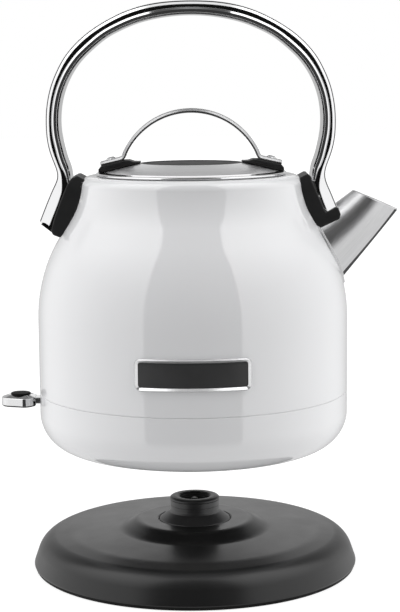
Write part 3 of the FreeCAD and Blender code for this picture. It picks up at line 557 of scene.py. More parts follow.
def ring_brushed(name, dark, light, low, high, freq=2600.0, aniso=0.6, strength=0.08):
    """Steel turned on a lathe: fine rings about Z."""
    k = Mat(name, Metallic=1.0, Anisotropic=aniso)
    sep = k.t.nodes.new("ShaderNodeSeparateXYZ")
    k.link(k.co, sep.inputs[0])
    r = k.math("SQRT", k.math("ADD", k.math("MULTIPLY", sep.outputs[0], sep.outputs[0]),
                              k.math("MULTIPLY", sep.outputs[1], sep.outputs[1])))
    comb = k.t.nodes.new("ShaderNodeCombineXYZ")
    k.link(k.math("MULTIPLY", r, freq), comb.inputs[0])
    k.link(k.math("MULTIPLY", sep.outputs[2], freq), comb.inputs[1])
    drift = k.noise(30, 2, 0.5)
    k.link(k.math("MULTIPLY", drift, 3.0), comb.inputs[2])
    fine = k.noise(1.0, 4, 0.65, comb.outputs[0])
    k.color(k.ramp(fine, [(0.3, (dark, dark, dark * 1.01)), (0.7, (light, light, light * 1.01))]))
    k.rough(k.mapped(fine, low, high, 0.3, 0.7))
    k.normal(k.bump(fine, strength, 0.0002))
    tan = k.t.nodes.new("ShaderNodeTangent")
    tan.direction_type = "RADIAL"
    tan.axis = "Z"
    k.link(tan.outputs[0], k.b.inputs["Tangent"])
    return k.m


def moulded(name, dark, light, low=0.36, high=0.46, grain=1500.0, strength=0.08, tint=(1.0, 1.0, 1.03), spec=0.5):
    """Moulded plastic with a fine spark-eroded grain."""
    k = Mat(name)
    k.b.inputs["Specular IOR Level"].default_value = spec
    tone = k.noise(45, 4, 0.6)
    k.color(k.ramp(tone, [(0.3, tuple(dark * c for c in tint)), (0.7, tuple(light * c for c in tint))]))
    g = k.noise(grain, 2, 0.6)
    c = k.cells(grain * 0.8)
    h = k.math("ADD", k.math("MULTIPLY", g, 0.6), k.math("MULTIPLY", c, 0.4))
    k.rough(k.mapped(k.noise(80, 3, 0.5), low, high, 0.3, 0.7))
    k.normal(k.bump(h, strength, 0.0003))
    return k.m


def rubber(name, dark=0.012, light=0.02):
    k = Mat(name)
    k.color(k.ramp(k.noise(120, 4, 0.6), [(0.3, (dark,) * 3), (0.7, (light,) * 3)]))
    k.rough(k.mapped(k.noise(200, 3, 0.5), 0.6, 0.78, 0.3, 0.7))
    k.normal(k.bump(k.noise(2200, 3, 0.6), 0.1, 0.0003))
    return k.m


def plain_metal(name, color, low, high, freq=(400, 400, 60), metallic=1.0):
    k = Mat(name, Metallic=metallic)
    v = k.scaled(*freq)
    n = k.noise(1.0, 4, 0.6, v)
    a = tuple(c * 0.85 for c in color)
    k.color(k.ramp(n, [(0.3, a), (0.7, color)]))
    k.rough(k.mapped(n, low, high, 0.3, 0.7))
    k.normal(k.bump(n, 0.06, 0.0002))
    return k.m


M_ENAMEL = enamel()
M_CHROME = chrome()
M_POLISH = chrome("polished_rim", 0.72, 0.05, 0.10)
M_SPOUT = brushed("spout_steel", (40, 2400, 2400), (0, 0.806, 0), 0.50, 0.60, 0.33, 0.40, 0.0, 0.08)
# near-black steel: painted shade on the spout's keel
M_KEEL_PAINTED_SHADE = brushed("keel_painted_shade", (40, 2400, 2400), (0, 0.806, 0), 0.05, 0.08, 0.30, 0.42, 0.0, 0.08)
M_STRAP = brushed("strap_steel", (60, 3000, 60), (0, 0, 0), 0.36, 0.46, 0.20, 0.30, 0.0, 0.08)
M_LID = ring_brushed("lid_steel", 0.74, 0.88, 0.26, 0.38)
# near-black, low sheen: a painted dark reflection on the lid's flat top
M_LID_TOP_PAINTED_REFLECTION = moulded("lid_top_painted_reflection", 0.013, 0.020, 0.45, 0.55, 1600.0, 0.06, (1, 1, 1.01), 0.06)
M_BLACK = moulded("bracket_plastic", 0.015, 0.021, 0.40, 0.50, 1300.0, 0.07, (1, 1, 1.02), 0.22)
# near-black plastic: the handle's core strip and the paddle's underside, and painted shadow on the base's bottom lip
M_CORE_AND_PAINTED_SHADE = moulded("core_plastic_and_painted_shade", 0.003, 0.005, 0.6, 0.7, 1300.0, 0.05, (1, 1, 1), 0.1)
M_BASE = moulded("base_plastic", 0.011, 0.013, 0.28, 0.32, 1700.0, 0.06, (1, 1, 1.02), 0.36)
# dark grey plastic made lighter than the base's: painted light on the post, ring and contact, in place of light the
# kettle above keeps off
M_POST_TONE_AND_PAINTED_LIGHT = moulded("post_plastic_and_painted_light", 0.030, 0.036, 0.34, 0.40, 1700.0, 0.06)
M_PLATE = moulded("plate_plastic", 0.022, 0.03, 0.40, 0.5, 1900.0, 0.10)
M_INSERT = moulded("insert_plastic", 0.006, 0.009, 0.30, 0.4, 1500.0, 0.05)
M_INLAY = moulded("inlay_plastic", 0.006, 0.010, 0.5, 0.62, 1500.0, 0.05, (1, 1, 1), 0.06)
M_FRAME = chrome("frame_chrome", 0.66, 0.20, 0.28)
M_PADDLE = chrome("satin_chrome", 0.62, 0.10, 0.16)
M_RUBBER = rubber("seal_rubber")
M_GREYRUB = rubber("silicone_grey", 0.10, 0.14)
M_ALU = plain_metal("aluminium", (0.78, 0.78, 0.79), 0.32, 0.45)
M_BRASS = plain_metal("contact_nickel", (0.46, 0.44, 0.40), 0.22, 0.36)
M_ZINC = plain_metal("plated_steel", (0.60, 0.60, 0.59), 0.22, 0.36)
M_PLATEIN = ring_brushed("heater_steel", 0.44, 0.56, 0.26, 0.4, 1800.0, 0.4, 0.06)
M_NATURAL = moulded("control_plastic", 0.52, 0.60, 0.42, 0.55, 900.0, 0.06, (1.0, 0.985, 0.93))
M_WIRE = rubber("wire_sleeve", 0.08, 0.12)


def finish_piece(ob, body, mats, nodes=()):
    which = np.zeros(len(ob.data.polygons), int)
    ob.data.polygons.foreach_get("material_index", which)
    ob.data.materials.clear()
    for m in (mats if isinstance(mats, (list, tuple)) else [mats]):
        ob.data.materials.append(m)
    if len(ob.data.materials) > 1:
        ob.data.polygons.foreach_set("material_index", which)
    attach(ob, body)
    if nodes:
        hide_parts(*nodes)
    return ob


# ------------------------------------------------------------------ the shell's line
SH_R, DOME = 84.9, 85.0
FLARE = arc_between((66.63, 193.98), (60.5, 212.0), 45.0, "right", False)


def shell_radius(z):
    """Outer radius of the shell at height z."""
    z = np.asarray(z, float)
    wall = np.full_like(z, SH_R)
    dome = SH_R - DOME + np.sqrt(np.maximum(DOME ** 2 - (z - 140.0) ** 2, 0))
    slope = 72.76 + (z - 183.78) * (66.63 - 72.76) / (193.98 - 183.78)
    flare = FLARE[1] - np.sqrt(np.maximum(45.0 ** 2 - (z - FLARE[2]) ** 2, 0))
    neck = 55.0 + np.sqrt(np.maximum(5.5 ** 2 - (z - 212.0) ** 2, 0))
    return np.where(z < 140, wall, np.where(z < 183.78, dome, np.where(z < 193.98, slope, np.where(z < 212, flare, neck))))


# ------------------------------------------------------------------ spout sections
KR, KT = np.array([83.7, 161.0]), np.array([113.4, 197.5])
BR, BT = np.array([70.0, 194.9]), np.array([88.3, 208.4])


SIDES, BACKS = 14, 30
WHERE = ([(0, j / 4, 1.0) for j in range(5)] + [(1, j / SIDES, 1.0) for j in range(1, SIDES)] + [(2, j / BACKS, 1.0) for j in range(BACKS + 1)]
         + [(1, j / SIDES, -1.0) for j in range(SIDES - 1, 0, -1)] + [(0, j / 4, -1.0) for j in range(4, 0, -1)])
KIND, PART, HAND = (np.array([w[i] for w in WHERE]) for i in range(3))


def on_lines(t, shrink=0.0, keel_round=0.95):
    """Every line of the spout's section at its own t: rows (x, y, z, nx, ny, nz)."""
    t = np.broadcast_to(np.asarray(t, float), KIND.shape)
    keel = KR[None] + (KT - KR)[None] * t[:, None]
    back = BR[None] + (BT - BR)[None] * t[:, None]
    bend = 14.0 - 3.5 * t
    ax = back - keel
    ln = np.hypot(ax[:, 0], ax[:, 1])
    ax = ax / ln[:, None]
    c = ln - bend
    phi = np.arcsin(bend / c)
    r = bend - shrink
    kr = max(keel_round - shrink, 0.12)
    kc = shrink / np.sin(phi) + kr / np.sin(phi)
    a = (PI / 2 - phi) * PART
    s0, y0 = kc - kr * np.sin(phi), kr * np.cos(phi)
    s1, y1 = c - r * np.sin(phi), r * np.cos(phi)
    b = (PI / 2 + phi) * (1 - 2 * PART)
    s = np.where(KIND == 0, kc - kr * np.cos(a), np.where(KIND == 1, s0 + (s1 - s0) * PART, c + r * np.cos(b)))
    y = np.where(KIND == 0, kr * np.sin(a), np.where(KIND == 1, y0 + (y1 - y0) * PART, r * np.sin(b))) * HAND
    ns = np.where(KIND == 0, -np.cos(a), np.where(KIND == 1, -np.sin(phi), np.cos(b)))
    ny = np.where(KIND == 0, np.sin(a), np.where(KIND == 1, np.cos(phi), np.sin(b))) * HAND
    P = keel + ax * s[:, None]
    return np.stack([P[:, 0], y, P[:, 1], ax[:, 0] * ns, ny, ax[:, 1] * ns], 1)


def teardrop(t, shrink=0.0):
    return on_lines(t, shrink)


def meet_shell(shrink, lift):
    """Where the side lines of the spout, widened by -shrink, meet the shell raised by lift."""
    lo, hi = np.full(len(KIND), -0.34), np.full(len(KIND), 0.75)
    for _ in range(24):
        mid = (lo + hi) / 2
        p = on_lines(mid, shrink)
        out = np.hypot(p[:, 0], p[:, 1]) > shell_radius(p[:, 2]) + lift
        hi, lo = np.where(out, mid, hi), np.where(out, lo, mid)
    mid = (lo + hi) / 2
    return on_lines(mid, shrink), mid


def build_spout():
    # outside of the horn from the shell to the lip, the lip, the inside, and the flange on the shell
    root, root_t = meet_shell(0.0, 1.2)
    n = len(root)
    rows = []
    flange = []
    for w, h in ((3.2, 0.02), (3.2, 0.45), (3.08, 0.72), (2.85, 0.86), (2.5, 0.9), (1.0, 0.9), (0.35, 0.95)):
        p, _ = meet_shell(-w, h)
        flange.append(p[:, :3])
    steps = 16
    for k in range(steps + 1):
        f = k / steps
        ring = on_lines(root_t + (0.985 - root_t) * f)
        rows.append(ring)
    axis = (KT + BT) / 2 - (KR + BR) / 2
    axis = np.array([axis[0], 0, axis[1]]) / np.hypot(*axis)
    mouth = np.array([KT[1] - BT[1], 0, 0])
    V, N, rings = [], [], []

    def add(P, nn):
        rings.append(len(V))
        V.extend(P.tolist())
        N.extend(nn.tolist())
    # flange, outer rim first
    for k, P in enumerate(flange):
        r = np.hypot(P[:, 0], P[:, 1])
        z = P[:, 2]
        e = 0.05
        slope = (shell_radius(z + e) - shell_radius(z - e)) / (2 * e)
        up = np.stack([P[:, 0] / r, P[:, 1] / r, -slope], 1)
        up /= np.linalg.norm(up, axis=1)[:, None]
        out = root[:, 3:6] - up * (root[:, 3:6] * up).sum(1)[:, None]
        out /= np.maximum(np.linalg.norm(out, axis=1), 1e-9)[:, None]
        mix = (1.0, 1.0, 0.72, 0.3, 0.0, 0.0, 0.25)[k]
        nn = up * (1 - mix) + out * mix
        add(P, nn)
    for k, R in enumerate(rows):
        nn = R[:, 3:6].copy()
        T = rows[min(k + 1, steps)][:, :3] - rows[max(k - 1, 0)][:, :3]
        T /= np.maximum(np.linalg.norm(T, axis=1), 1e-9)[:, None]
        nn -= T * (nn * T).sum(1)[:, None]
        add(R[:, :3], nn)
    # rolled lip, then the inside back to the shell
    A, B = teardrop(1.0, 0.25), teardrop(1.0, 0.55)
    tip = np.cross([0, 1, 0], np.array([(KT - BT)[0], 0, (KT - BT)[1]]))
    tip = tip / np.linalg.norm(tip)
    if tip @ axis < 0:
        tip = -tip
    add(A[:, :3], A[:, 3:6] * 0.5 + tip)
    add(B[:, :3], -B[:, 3:6] * 0.5 + tip)
    inner_root, it = meet_shell(0.8, -1.4)
    for k in range(9):
        f = k / 8
        R = on_lines(0.985 + (it - 0.985) * f, 0.8)
        add(R[:, :3], -R[:, 3:6])
    F = []
    for a, b in zip(rings, rings[1:]):
        for i in range(n):
            j = (i + 1) % n
            F.append([a + j, a + i, b + i, b + j])
    # close the underside of the flange to the inside of the bore
    a, b = rings[-1], rings[0]
    for i in range(n):
        j = (i + 1) % n
        F.append([a + j, a + i, b + i, b + j])
    ob = make("spout_horn", V, F, N)
    # the folded keel takes near-black steel: painted shade, a dark line along the spout's lower edge
    flank = len(flange)
    which = []
    for p in ob.data.polygons:
        lines = {v % n for v in p.vertices}
        row = min(v // n for v in p.vertices)
        which.append(1 if flank <= row < flank + steps and all(KIND[i] == 0 or (KIND[i] == 1 and PART[i] < 2.01 / SIDES) for i in lines) else 0)
    ob.data.polygons.foreach_set("material_index", which)
    return ob


# ------------------------------------------------------------------ kettle: shell and housing
SHELL_ITEMS = [
    (SH_R - 1.0, 99.6, 0.2), (SH_R - 0.05, 99.58, 0.25), (SH_R, 100.1, 0.3), (SH_R, 118.0), (SH_R, 140.0),
    arc_between((SH_R, 140.0), (72.76, 183.78), DOME, "left", True),
    FLARE,
    ("arc", 55.0, 212.0, 5.5, 0, 90),
    (49.2 + 1.4, 217.5, 1.2), (49.2, 216.0, 1.0), (49.2, 207.0, 0.4), (50.2, 207.0, 0.4), (50.2, 216.5, 0.8),
    ("arc", 55.0, 212.0, 4.5, 90, 0),
    ("arc", FLARE[1], FLARE[2], 46.0, FLARE[5], FLARE[4]),
    arc_between((72.76 - 0.857, 183.78 - 0.515), (SH_R - 1.0, 140.0), DOME - 1.0, "right", False),
    (SH_R - 1.0, 118.0),
]
SHELL_PROF = section(SHELL_ITEMS, True, 3.0)


def build_shell():
    ob = turned("shell_enamel", welded(SHELL_PROF), 176)
    n = len(teardrop(0.3))
    rings = [teardrop(t, 0.7)[:, :3] for t in (-0.5, -0.2, 0.1, 0.4, 0.7, 0.9)]
    V = np.vstack(rings)
    F = []
    for k in range(len(rings) - 1):
        for i in range(n):
            j = (i + 1) % n
            F.append([k * n + j, k * n + i, (k + 1) * n + i, (k + 1) * n + j])
    F.append(list(range(n)))
    F.append([(len(rings) - 1) * n + i for i in range(n)][::-1])
    cutter = make("cutter_spout", V, F, smooth=False)
    carve(ob, [cutter])
    set_normals(ob, turned_normals(SHELL_PROF))
    return ob


HOUSE_PROF = section([
    (60.0, 67.5, 0.8), (64.4, 67.5), ("arc", 64.4, 88.0, 20.5, -90, 0), (SH_R, 92.0), (SH_R, 98.7, 0.3),
    (SH_R - 0.05, 99.22, 0.25), (SH_R - 0.4, 99.25, 0.1), (SH_R - 0.42, 99.54, 0.1), (SH_R - 2.2, 99.54, 0.3), (SH_R - 2.2, 90.0), (SH_R - 2.2, 88.0),
    ("arc", 64.4, 88.0, 18.3, 0, -90), (60.0, 69.7, 0.4)], True, 3.5)


def rounded_box(name, lo, hi, r, axis="x", steps=6):
    """A block through the wall along X with rounded long edges."""
    (x0, y0, z0), (x1, y1, z1) = lo, hi
    prof = section([(y0, z0, r), (y1, z0, r), (y1, z1, r), (y0, z1, r)], True, 12)
    V, F = [], []
    n = len(prof)
    for x in (x0, x1):
        V += [(x, p[0], p[1]) for p in prof]
    for i in range(n):
        j = (i + 1) % n
        F.append([i, j, n + j, n + i])
    F.append(list(range(n))[::-1])
    F.append(list(range(n, 2 * n)))
    return make(name, V, F, smooth=False)


def build_housing():
    ob = turned("housing_enamel", welded(HOUSE_PROF), 176)
    slot = rounded_box("cutter_slot", (-92.0, -6.0, 89.0), (-79.0, 6.0, 97.7), 1.6)
    carve(ob, [slot])
    set_normals(ob, turned_normals(HOUSE_PROF))
    return ob


# ------------------------------------------------------------------ handle
ARCH_OUT = [(72.0, 217.1), (72.5, 220.6), (74.2, 224.9), (76.0, 229.8), (77.3, 234.9), (78.1, 245.8), (77.9, 252.2),
            (76.7, 260.2), (75.0, 266.6), (72.3, 273.0), (68.7, 279.9), (62.8, 287.4), (57.9, 292.0), (49.1, 298.3),
            (43.4, 301.5), (36.8, 304.7), (27.7, 307.8), (0.0, 310.9)]
ARCH_IN = [(65.0, 216.5), (65.7, 222.0), (67.7, 227.1), (69.3, 233.6), (70.7, 240.3), (71.1, 246.7), (70.7, 253.4),
           (69.5, 259.9), (67.3, 266.4), (64.0, 273.0), (59.3, 279.5), (52.6, 285.9), (44.2, 292.4), (37.9, 295.6),
           (30.0, 298.9), (17.2, 302.1), (0.0, 303.6)]


def smooth_line(points, count, passes=6):
    """Points evenly spread along a line through the given ones, eased a little."""
    P = np.array(points, float)
    d = np.r_[0, np.cumsum(np.hypot(*np.diff(P, axis=0).T))]
    s = np.linspace(0, d[-1], count)
    # piecewise cubic through the points
    m = np.gradient(P, d, axis=0)
    k = np.clip(np.searchsorted(d, s, "right") - 1, 0, len(d) - 2)
    h = (d[k + 1] - d[k])[:, None]
    t = ((s - d[k]) / (d[k + 1] - d[k]))[:, None]
    Q = ((2 * t ** 3 - 3 * t ** 2 + 1) * P[k] + (t ** 3 - 2 * t ** 2 + t) * h * m[k]
         + (-2 * t ** 3 + 3 * t ** 2) * P[k + 1] + (t ** 3 - t ** 2) * h * m[k + 1])
    for _ in range(passes):
        R = Q.copy()
        R[1:-1] = 0.25 * Q[:-2] + 0.5 * Q[1:-1] + 0.25 * Q[2:]
        Q = R
    return Q


def line_ways(Q):
    T = np.gradient(Q, axis=0)
    T /= np.hypot(T[:, 0], T[:, 1])[:, None]
    return T


def hit_line(o, d, Q):
    """Distance along d from o to the polyline Q."""
    A, B = Q[:-1], Q[1:]
    e = B - A
    den = d[0] * e[:, 1] - d[1] * e[:, 0]
    w = A - o
    with np.errstate(divide="ignore", invalid="ignore"):
        t = (w[:, 0] * e[:, 1] - w[:, 1] * e[:, 0]) / den
        s = (w[:, 0] * d[1] - w[:, 1] * d[0]) / den
    ok = (s >= -1e-6) & (s <= 1 + 1e-6) & (t > 0.3)
    return float(t[ok].min()) if ok.any() else None


def band_ring(th, drop, edge, half=12.0):
    """Outer band: u from 0 at its back to th at its outer face, front and back edges sloped by drop."""
    lip = 0.62
    front = [(0.0, -half + 0.25, 0.2), (0.15, -half, 0.2), (th - lip - 0.12, -half + drop, 0.15), (th - 0.05, -half + drop + 0.05, 0.3), (th, -half + drop + 0.7, 0.3)]
    return section(front + [(u, -y, f) for u, y, f in front[::-1]], True, -4)


def bar_ring(th, half=12.0):
    """Inner bar: u from 0 at its inner face to th at the core."""
    k = []
    # front: bevel at the inner face, flat, then a slope towards the core
    half_ring = [(0.0, -half + 1.2, 0.3), (th * 0.24, -half, 0.25), (th * 0.62, -half, 0.25), (th * 0.92, -half + 0.9, 0.3), (th, -half + 1.6, 0.25)]
    k += half_ring + [(u, -y, f) for u, y, f in half_ring[::-1]]
    return section(k, True, -4)


def build_handle():
    outer_side = [(x, z) for x, z in ARCH_OUT]
    full_out = [(82.7, 193.3), (80.0, 200.0), (77.2, 206.6), (74.3, 213.0)]
    rear = [(-x, z) for x, z in full_out]
    front = [(72.7, 214.3), (74.8, 209.9), (76.6, 205.5), (78.2, 201.6), (79.2, 199.2)]
    O = smooth_line(rear + [(-x, z) for x, z in outer_side] + outer_side[-2::-1] + front, 300, 12)
    I = smooth_line([(-x, z) for x, z in ARCH_IN] + ARCH_IN[-2::-1], 300, 12)
    T = line_ways(O)
    inward = np.stack([T[:, 1], -T[:, 0]], 1)
    # thickness of the outer band: thin on the arch, thick at the two tabs
    th = np.interp(O[:, 1], [205.0, 212.0, 214.6, 217.0, 222.0, 226.0], [6.1, 5.6, 4.1, 2.7, 2.05, 2.15])
    for _ in range(4):
        th[1:-1] = 0.25 * th[:-2] + 0.5 * th[1:-1] + 0.25 * th[2:]
    st = []
    for i in range(len(O)):
        drop = 1.05 + (2.45 - 1.05) * max(th[i] - 2.1, 0.0) / 3.4
        ring = band_ring(th[i], drop, 0.75)
        base = O[i] + inward[i] * th[i]
        st.append(((base[0], 0, base[1]), (-inward[i][0], 0, -inward[i][1]), (0, 1, 0), ring))
    parts = [sweep_data(st, 0.9)]
    # inner bar, from the top of one bracket over to the other
    TI = line_ways(I)
    # both ends run on a little into the brackets
    head = [I[0] - TI[0] * d for d in (5.0, 4.0, 3.0, 2.2, 1.4, 0.7)]
    tail = [I[-1] + TI[-1] * d for d in (0.7, 1.4, 2.2, 3.0, 4.0, 5.0)]
    I = np.vstack([head, I, tail])
    TI = line_ways(I)
    outw = np.stack([-TI[:, 1], TI[:, 0]], 1)
    sb, core = [], []
    last = len(I) - 1
    for i in range(len(I)):
        gap = hit_line(I[i], outw[i], O)
        total = min(max(gap if gap is not None else 7.2, 6.2), 9.0)
        bar = 4.25 - 1.35 * min(max((224 - I[i][1]) / 9.0, 0.0), 1.0)
        if 3 <= i <= last - 3:
            sb.append(((I[i][0], 0, I[i][1]), (outw[i][0], 0, outw[i][1]), (0, 1, 0), bar_ring(bar)))
        # black strip between the two
        hit = I[i] + outw[i] * total
        edge = float(np.interp(hit[1], [205.0, 212.0, 214.6, 217.0, 222.0, 226.0], [6.1, 5.6, 4.1, 2.7, 2.05, 2.15]))
        lo, hi = bar - 0.12, max(total - edge + 0.5, bar + 0.2)
        half = 11.2
        ring = section([(lo, -half, 0.15), (hi, -half, 0.15), (hi, half, 0.15), (lo, half, 0.15)], True, 30)
        core.append(((I[i][0], 0, I[i][1]), (outw[i][0], 0, outw[i][1]), (0, 1, 0), ring))
    parts.append(sweep_data(sb, 0.4))
    V, F, N = merge_data(parts)
    chrome_ob = make("handle_chrome", V, F, N)
    # a black packing strip closes the lower end of the rear tab
    pk = section([(-75.6, 188.2, 0.2), (-76.2, 187.95, 0.2), (-81.5, 192.05, 0.2), (-81.2, 192.7, 0.2)][::-1], True, 20)
    fr = section([(-66.2, 217.6, 0.3), (-69.6, 218.8, 0.3), (-69.6, 213.4, 0.5), (-72.2, 205.2, 2.0), (-76.2, 194.8, 2.0), (-77.2, 190.8, 0.3), (-75.4, 190.0, 0.3),
                  (-70.4, 204.6, 2.0), (-66.4, 213.4, 1.0)], True, 20)
    ff = section([(66.4, 213.6, 0.5), (72.3, 198.6, 0.3), (73.3, 199.3, 0.3), (68.6, 213.4, 0.5), (69.4, 218.4, 0.3), (66.6, 217.2, 0.3)], True, 20)
    core_ob = make("handle_core", *merge_data([sweep_data(core, 0.0), slab_data(pk, 11.6, 0.2, 3), slab_data(fr, 11.3, 0.15, 2), slab_data(ff, 11.3, 0.15, 2)]), True, True)
    return chrome_ob, core_ob


# ------------------------------------------------------------------ brackets on the shell
def shell_seat(V, sign, reach=5.0):
    """Bends the inner side of a bracket round the shell: points near the shell's line follow its curve."""
    out = V.copy()
    R = shell_radius(np.clip(V[:, 2], 150, 216.9))
    depth = sign * V[:, 0] - R
    w = np.clip(1 - depth / reach, 0, 1)
    back = R - np.sqrt(np.maximum(R ** 2 - V[:, 1] ** 2, 0))
    out[:, 0] -= sign * back * w
    return out


def build_brackets():
    obs = []
    zs = np.linspace(186.2, 214.5, 14)
    seat = [(float(shell_radius(z)) - 0.15, float(z)) for z in zs]
    rear = [(-x, z) for x, z in seat]
    # rear: outside line down the tab, foot, then up the shell
    items = [(-61.6, 218.4, 1.2), (-64.6, 216.9, 1.2), (-66.9, 213.6, 2.0), (-70.75, 204.7, 6.0), (-74.4, 195.0, 6.0), (-76.1, 188.6, 1.2),
             (-75.2, 186.4, 1.4), (-72.4, 185.0, 0.9)]
    items += [(x, z) for x, z in rear]
    items += [(-58.6, 216.0, 0.8)]
    prof = section(items, True, 12)
    V, F, N = slab_data(prof, 14.0, 0.75, 5)
    obs.append(make("rear_bracket_moulding", shell_seat(V, -1), F, N, True, True))
    zs = np.linspace(214.0, 190.5, 14)
    seat = [(float(shell_radius(z)) - 0.15, float(z)) for z in zs]
    items = [(62.6, 218.4, 1.2), (59.6, 216.2, 0.8)] + seat + [
             (70.4, 188.9, 0.9), (79.7, 193.6, 1.6), (80.5, 196.2, 1.6), (79.1, 199.9, 1.0), (77.4, 199.85, 0.9), (72.35, 197.25, 0.5),
             (64.85, 214.85, 1.5), (64.6, 216.5, 1.2)]
    prof = section(items, True, 12)
    V, F, N = slab_data(prof, 14.0, 0.75, 5)
    obs.append(make("front_bracket_moulding", shell_seat(V, 1), F, N, True, True))
    return obs


# ------------------------------------------------------------------ front plate
def build_plate():
    wide, high, zc, R = 59.6, 16.8, 121.3, SH_R
    b = 2.1
    # the plate is measured across, so lengths round the shell are a little longer
    s_half = R * math.asin(wide / 2 / R)
    cl = section([(-s_half + b / 2, zc - high / 2 + b / 2, 2.2), (s_half - b / 2, zc - high / 2 + b / 2, 2.2),
                  (s_half - b / 2, zc + high / 2 - b / 2, 2.2), (-s_half + b / 2, zc + high / 2 - b / 2, 2.2)], True, 8)
    dense = []
    for i in range(len(cl)):
        p, q = cl[i], cl[(i + 1) % len(cl)]
        ln = math.hypot(q[0] - p[0], q[1] - p[1])
        k = max(1, int(ln / 1.6))
        for j in range(k):
            f = j / k
            dense.append((p[0] + (q[0] - p[0]) * f, p[1] + (q[1] - p[1]) * f, p[2] + (q[2] - p[2]) * f, p[3] + (q[3] - p[3]) * f))
    # raised frame: outer flank, rounded crest, sloped inner flank
    flank = section([(1.05, -0.05, 0.05), (1.05, 0.45, 0.3), (0.45, 1.32, 0.14), (0.27, 1.36, 0.1), (-0.82, 0.36, 0.08), (-0.92, 0.25, 0.05), (-0.92, -0.05, 0.05)], True, 14)
    n = len(flank)
    V, N, F = [], [], []
    for s, z, ms, mz in dense:
        ln = math.hypot(ms, mz)
        ms, mz = ms / ln, mz / ln
        for w, h, nw, nh in flank:
            ss, zz = s + ms * w, z + mz * w
            a = ss / R
            c, d = math.sin(a), -math.cos(a)
            V.append(((R + h) * c, (R + h) * d, zz))
            t = (math.cos(a), math.sin(a))
            N.append((t[0] * ms * nw + c * nh, t[1] * ms * nw + d * nh, mz * nw))
    m = len(dense)
    for i in range(m):
        k = (i + 1) % m
        for j in range(n):
            l = (j + 1) % n
            F.append([i * n + j, i * n + l, k * n + l, k * n + j])
    rim = make("plate_frame", V, F, N)
    # field: a thin slab that follows the shell, with a fine sunk line inside its border
    sw, hh = s_half - b + 0.08, high / 2 - b + 0.08
    out = section([(-sw, zc - hh, 1.2), (sw, zc - hh, 1.2), (sw, zc + hh, 1.2), (-sw, zc + hh, 1.2)], True, 10)
    dense = []
    for i in range(len(out)):
        p, q = out[i], out[(i + 1) % len(out)]
        ln = math.hypot(q[0] - p[0], q[1] - p[1])
        k = max(1, int(ln / 1.6))
        for j in range(k):
            f = j / k
            dense.append((p[0] + (q[0] - p[0]) * f, p[1] + (q[1] - p[1]) * f, p[2], p[3]))
    levels = [(0.0, 0.0), (0.0, 0.2), (0.08, 0.27), (0.2, 0.3), (0.5, 0.3), (0.56, 0.23), (0.72, 0.23), (0.78, 0.3), (1.05, 0.3)]
    V, F = [], []
    for inset, h in levels:
        for s, z, ms, mz in dense:
            x, zz = s - ms * inset, z - mz * inset
            a = x / R
            V.append(((R + h) * math.sin(a), -(R + h) * math.cos(a), zz))
    m = len(dense)
    for k in range(len(levels) - 1):
        for i in range(m):
            j = (i + 1) % m
            F.append([k * m + i, k * m + j, (k + 1) * m + j, (k + 1) * m + i])
    # middle of the field: strips across its height
    k0 = (len(levels) - 1) * m
    bm_faces = list(range(k0, k0 + m))
    field = make("plate_field", V, F, None, True)
    bm = bmesh.new()
    bm.from_mesh(field.data)
    bm.verts.ensure_lookup_table()
    ring = [bm.verts[i] for i in bm_faces]
    lowr = [v for v in ring if v.co.z < zc * MM]
    highr = [v for v in ring if v.co.z >= zc * MM]
    lowr.sort(key=lambda v: v.co.x)
    highr.sort(key=lambda v: v.co.x)
    i = j = 0
    while i < len(lowr) - 1 or j < len(highr) - 1:
        nxt_low = lowr[i + 1].co.x if i < len(lowr) - 1 else 1e9
        nxt_high = highr[j + 1].co.x if j < len(highr) - 1 else 1e9
        if nxt_low <= nxt_high:
            tri = (lowr[i], lowr[i + 1], highr[j])
            i += 1
        else:
            tri = (lowr[i], highr[j + 1], highr[j])
            j += 1
        try:
            f = bm.faces.new(tri)
            f.smooth = True
        except ValueError:
            pass
    bm.normal_update()
    bmesh.ops.recalc_face_normals(bm, faces=bm.faces)
    bm.to_mesh(field.data)
    bm.free()

    def facing(pts, fn_):
        r = np.maximum(np.hypot(pts[:, 0], pts[:, 1]), 1e-6)
        out = np.stack([pts[:, 0] / r, pts[:, 1] / r, np.zeros(len(r))], 1)
        return np.where(((out * fn_).sum(1) > 0.9)[:, None], out, fn_)
    set_normals(field, facing)
    return rim, field


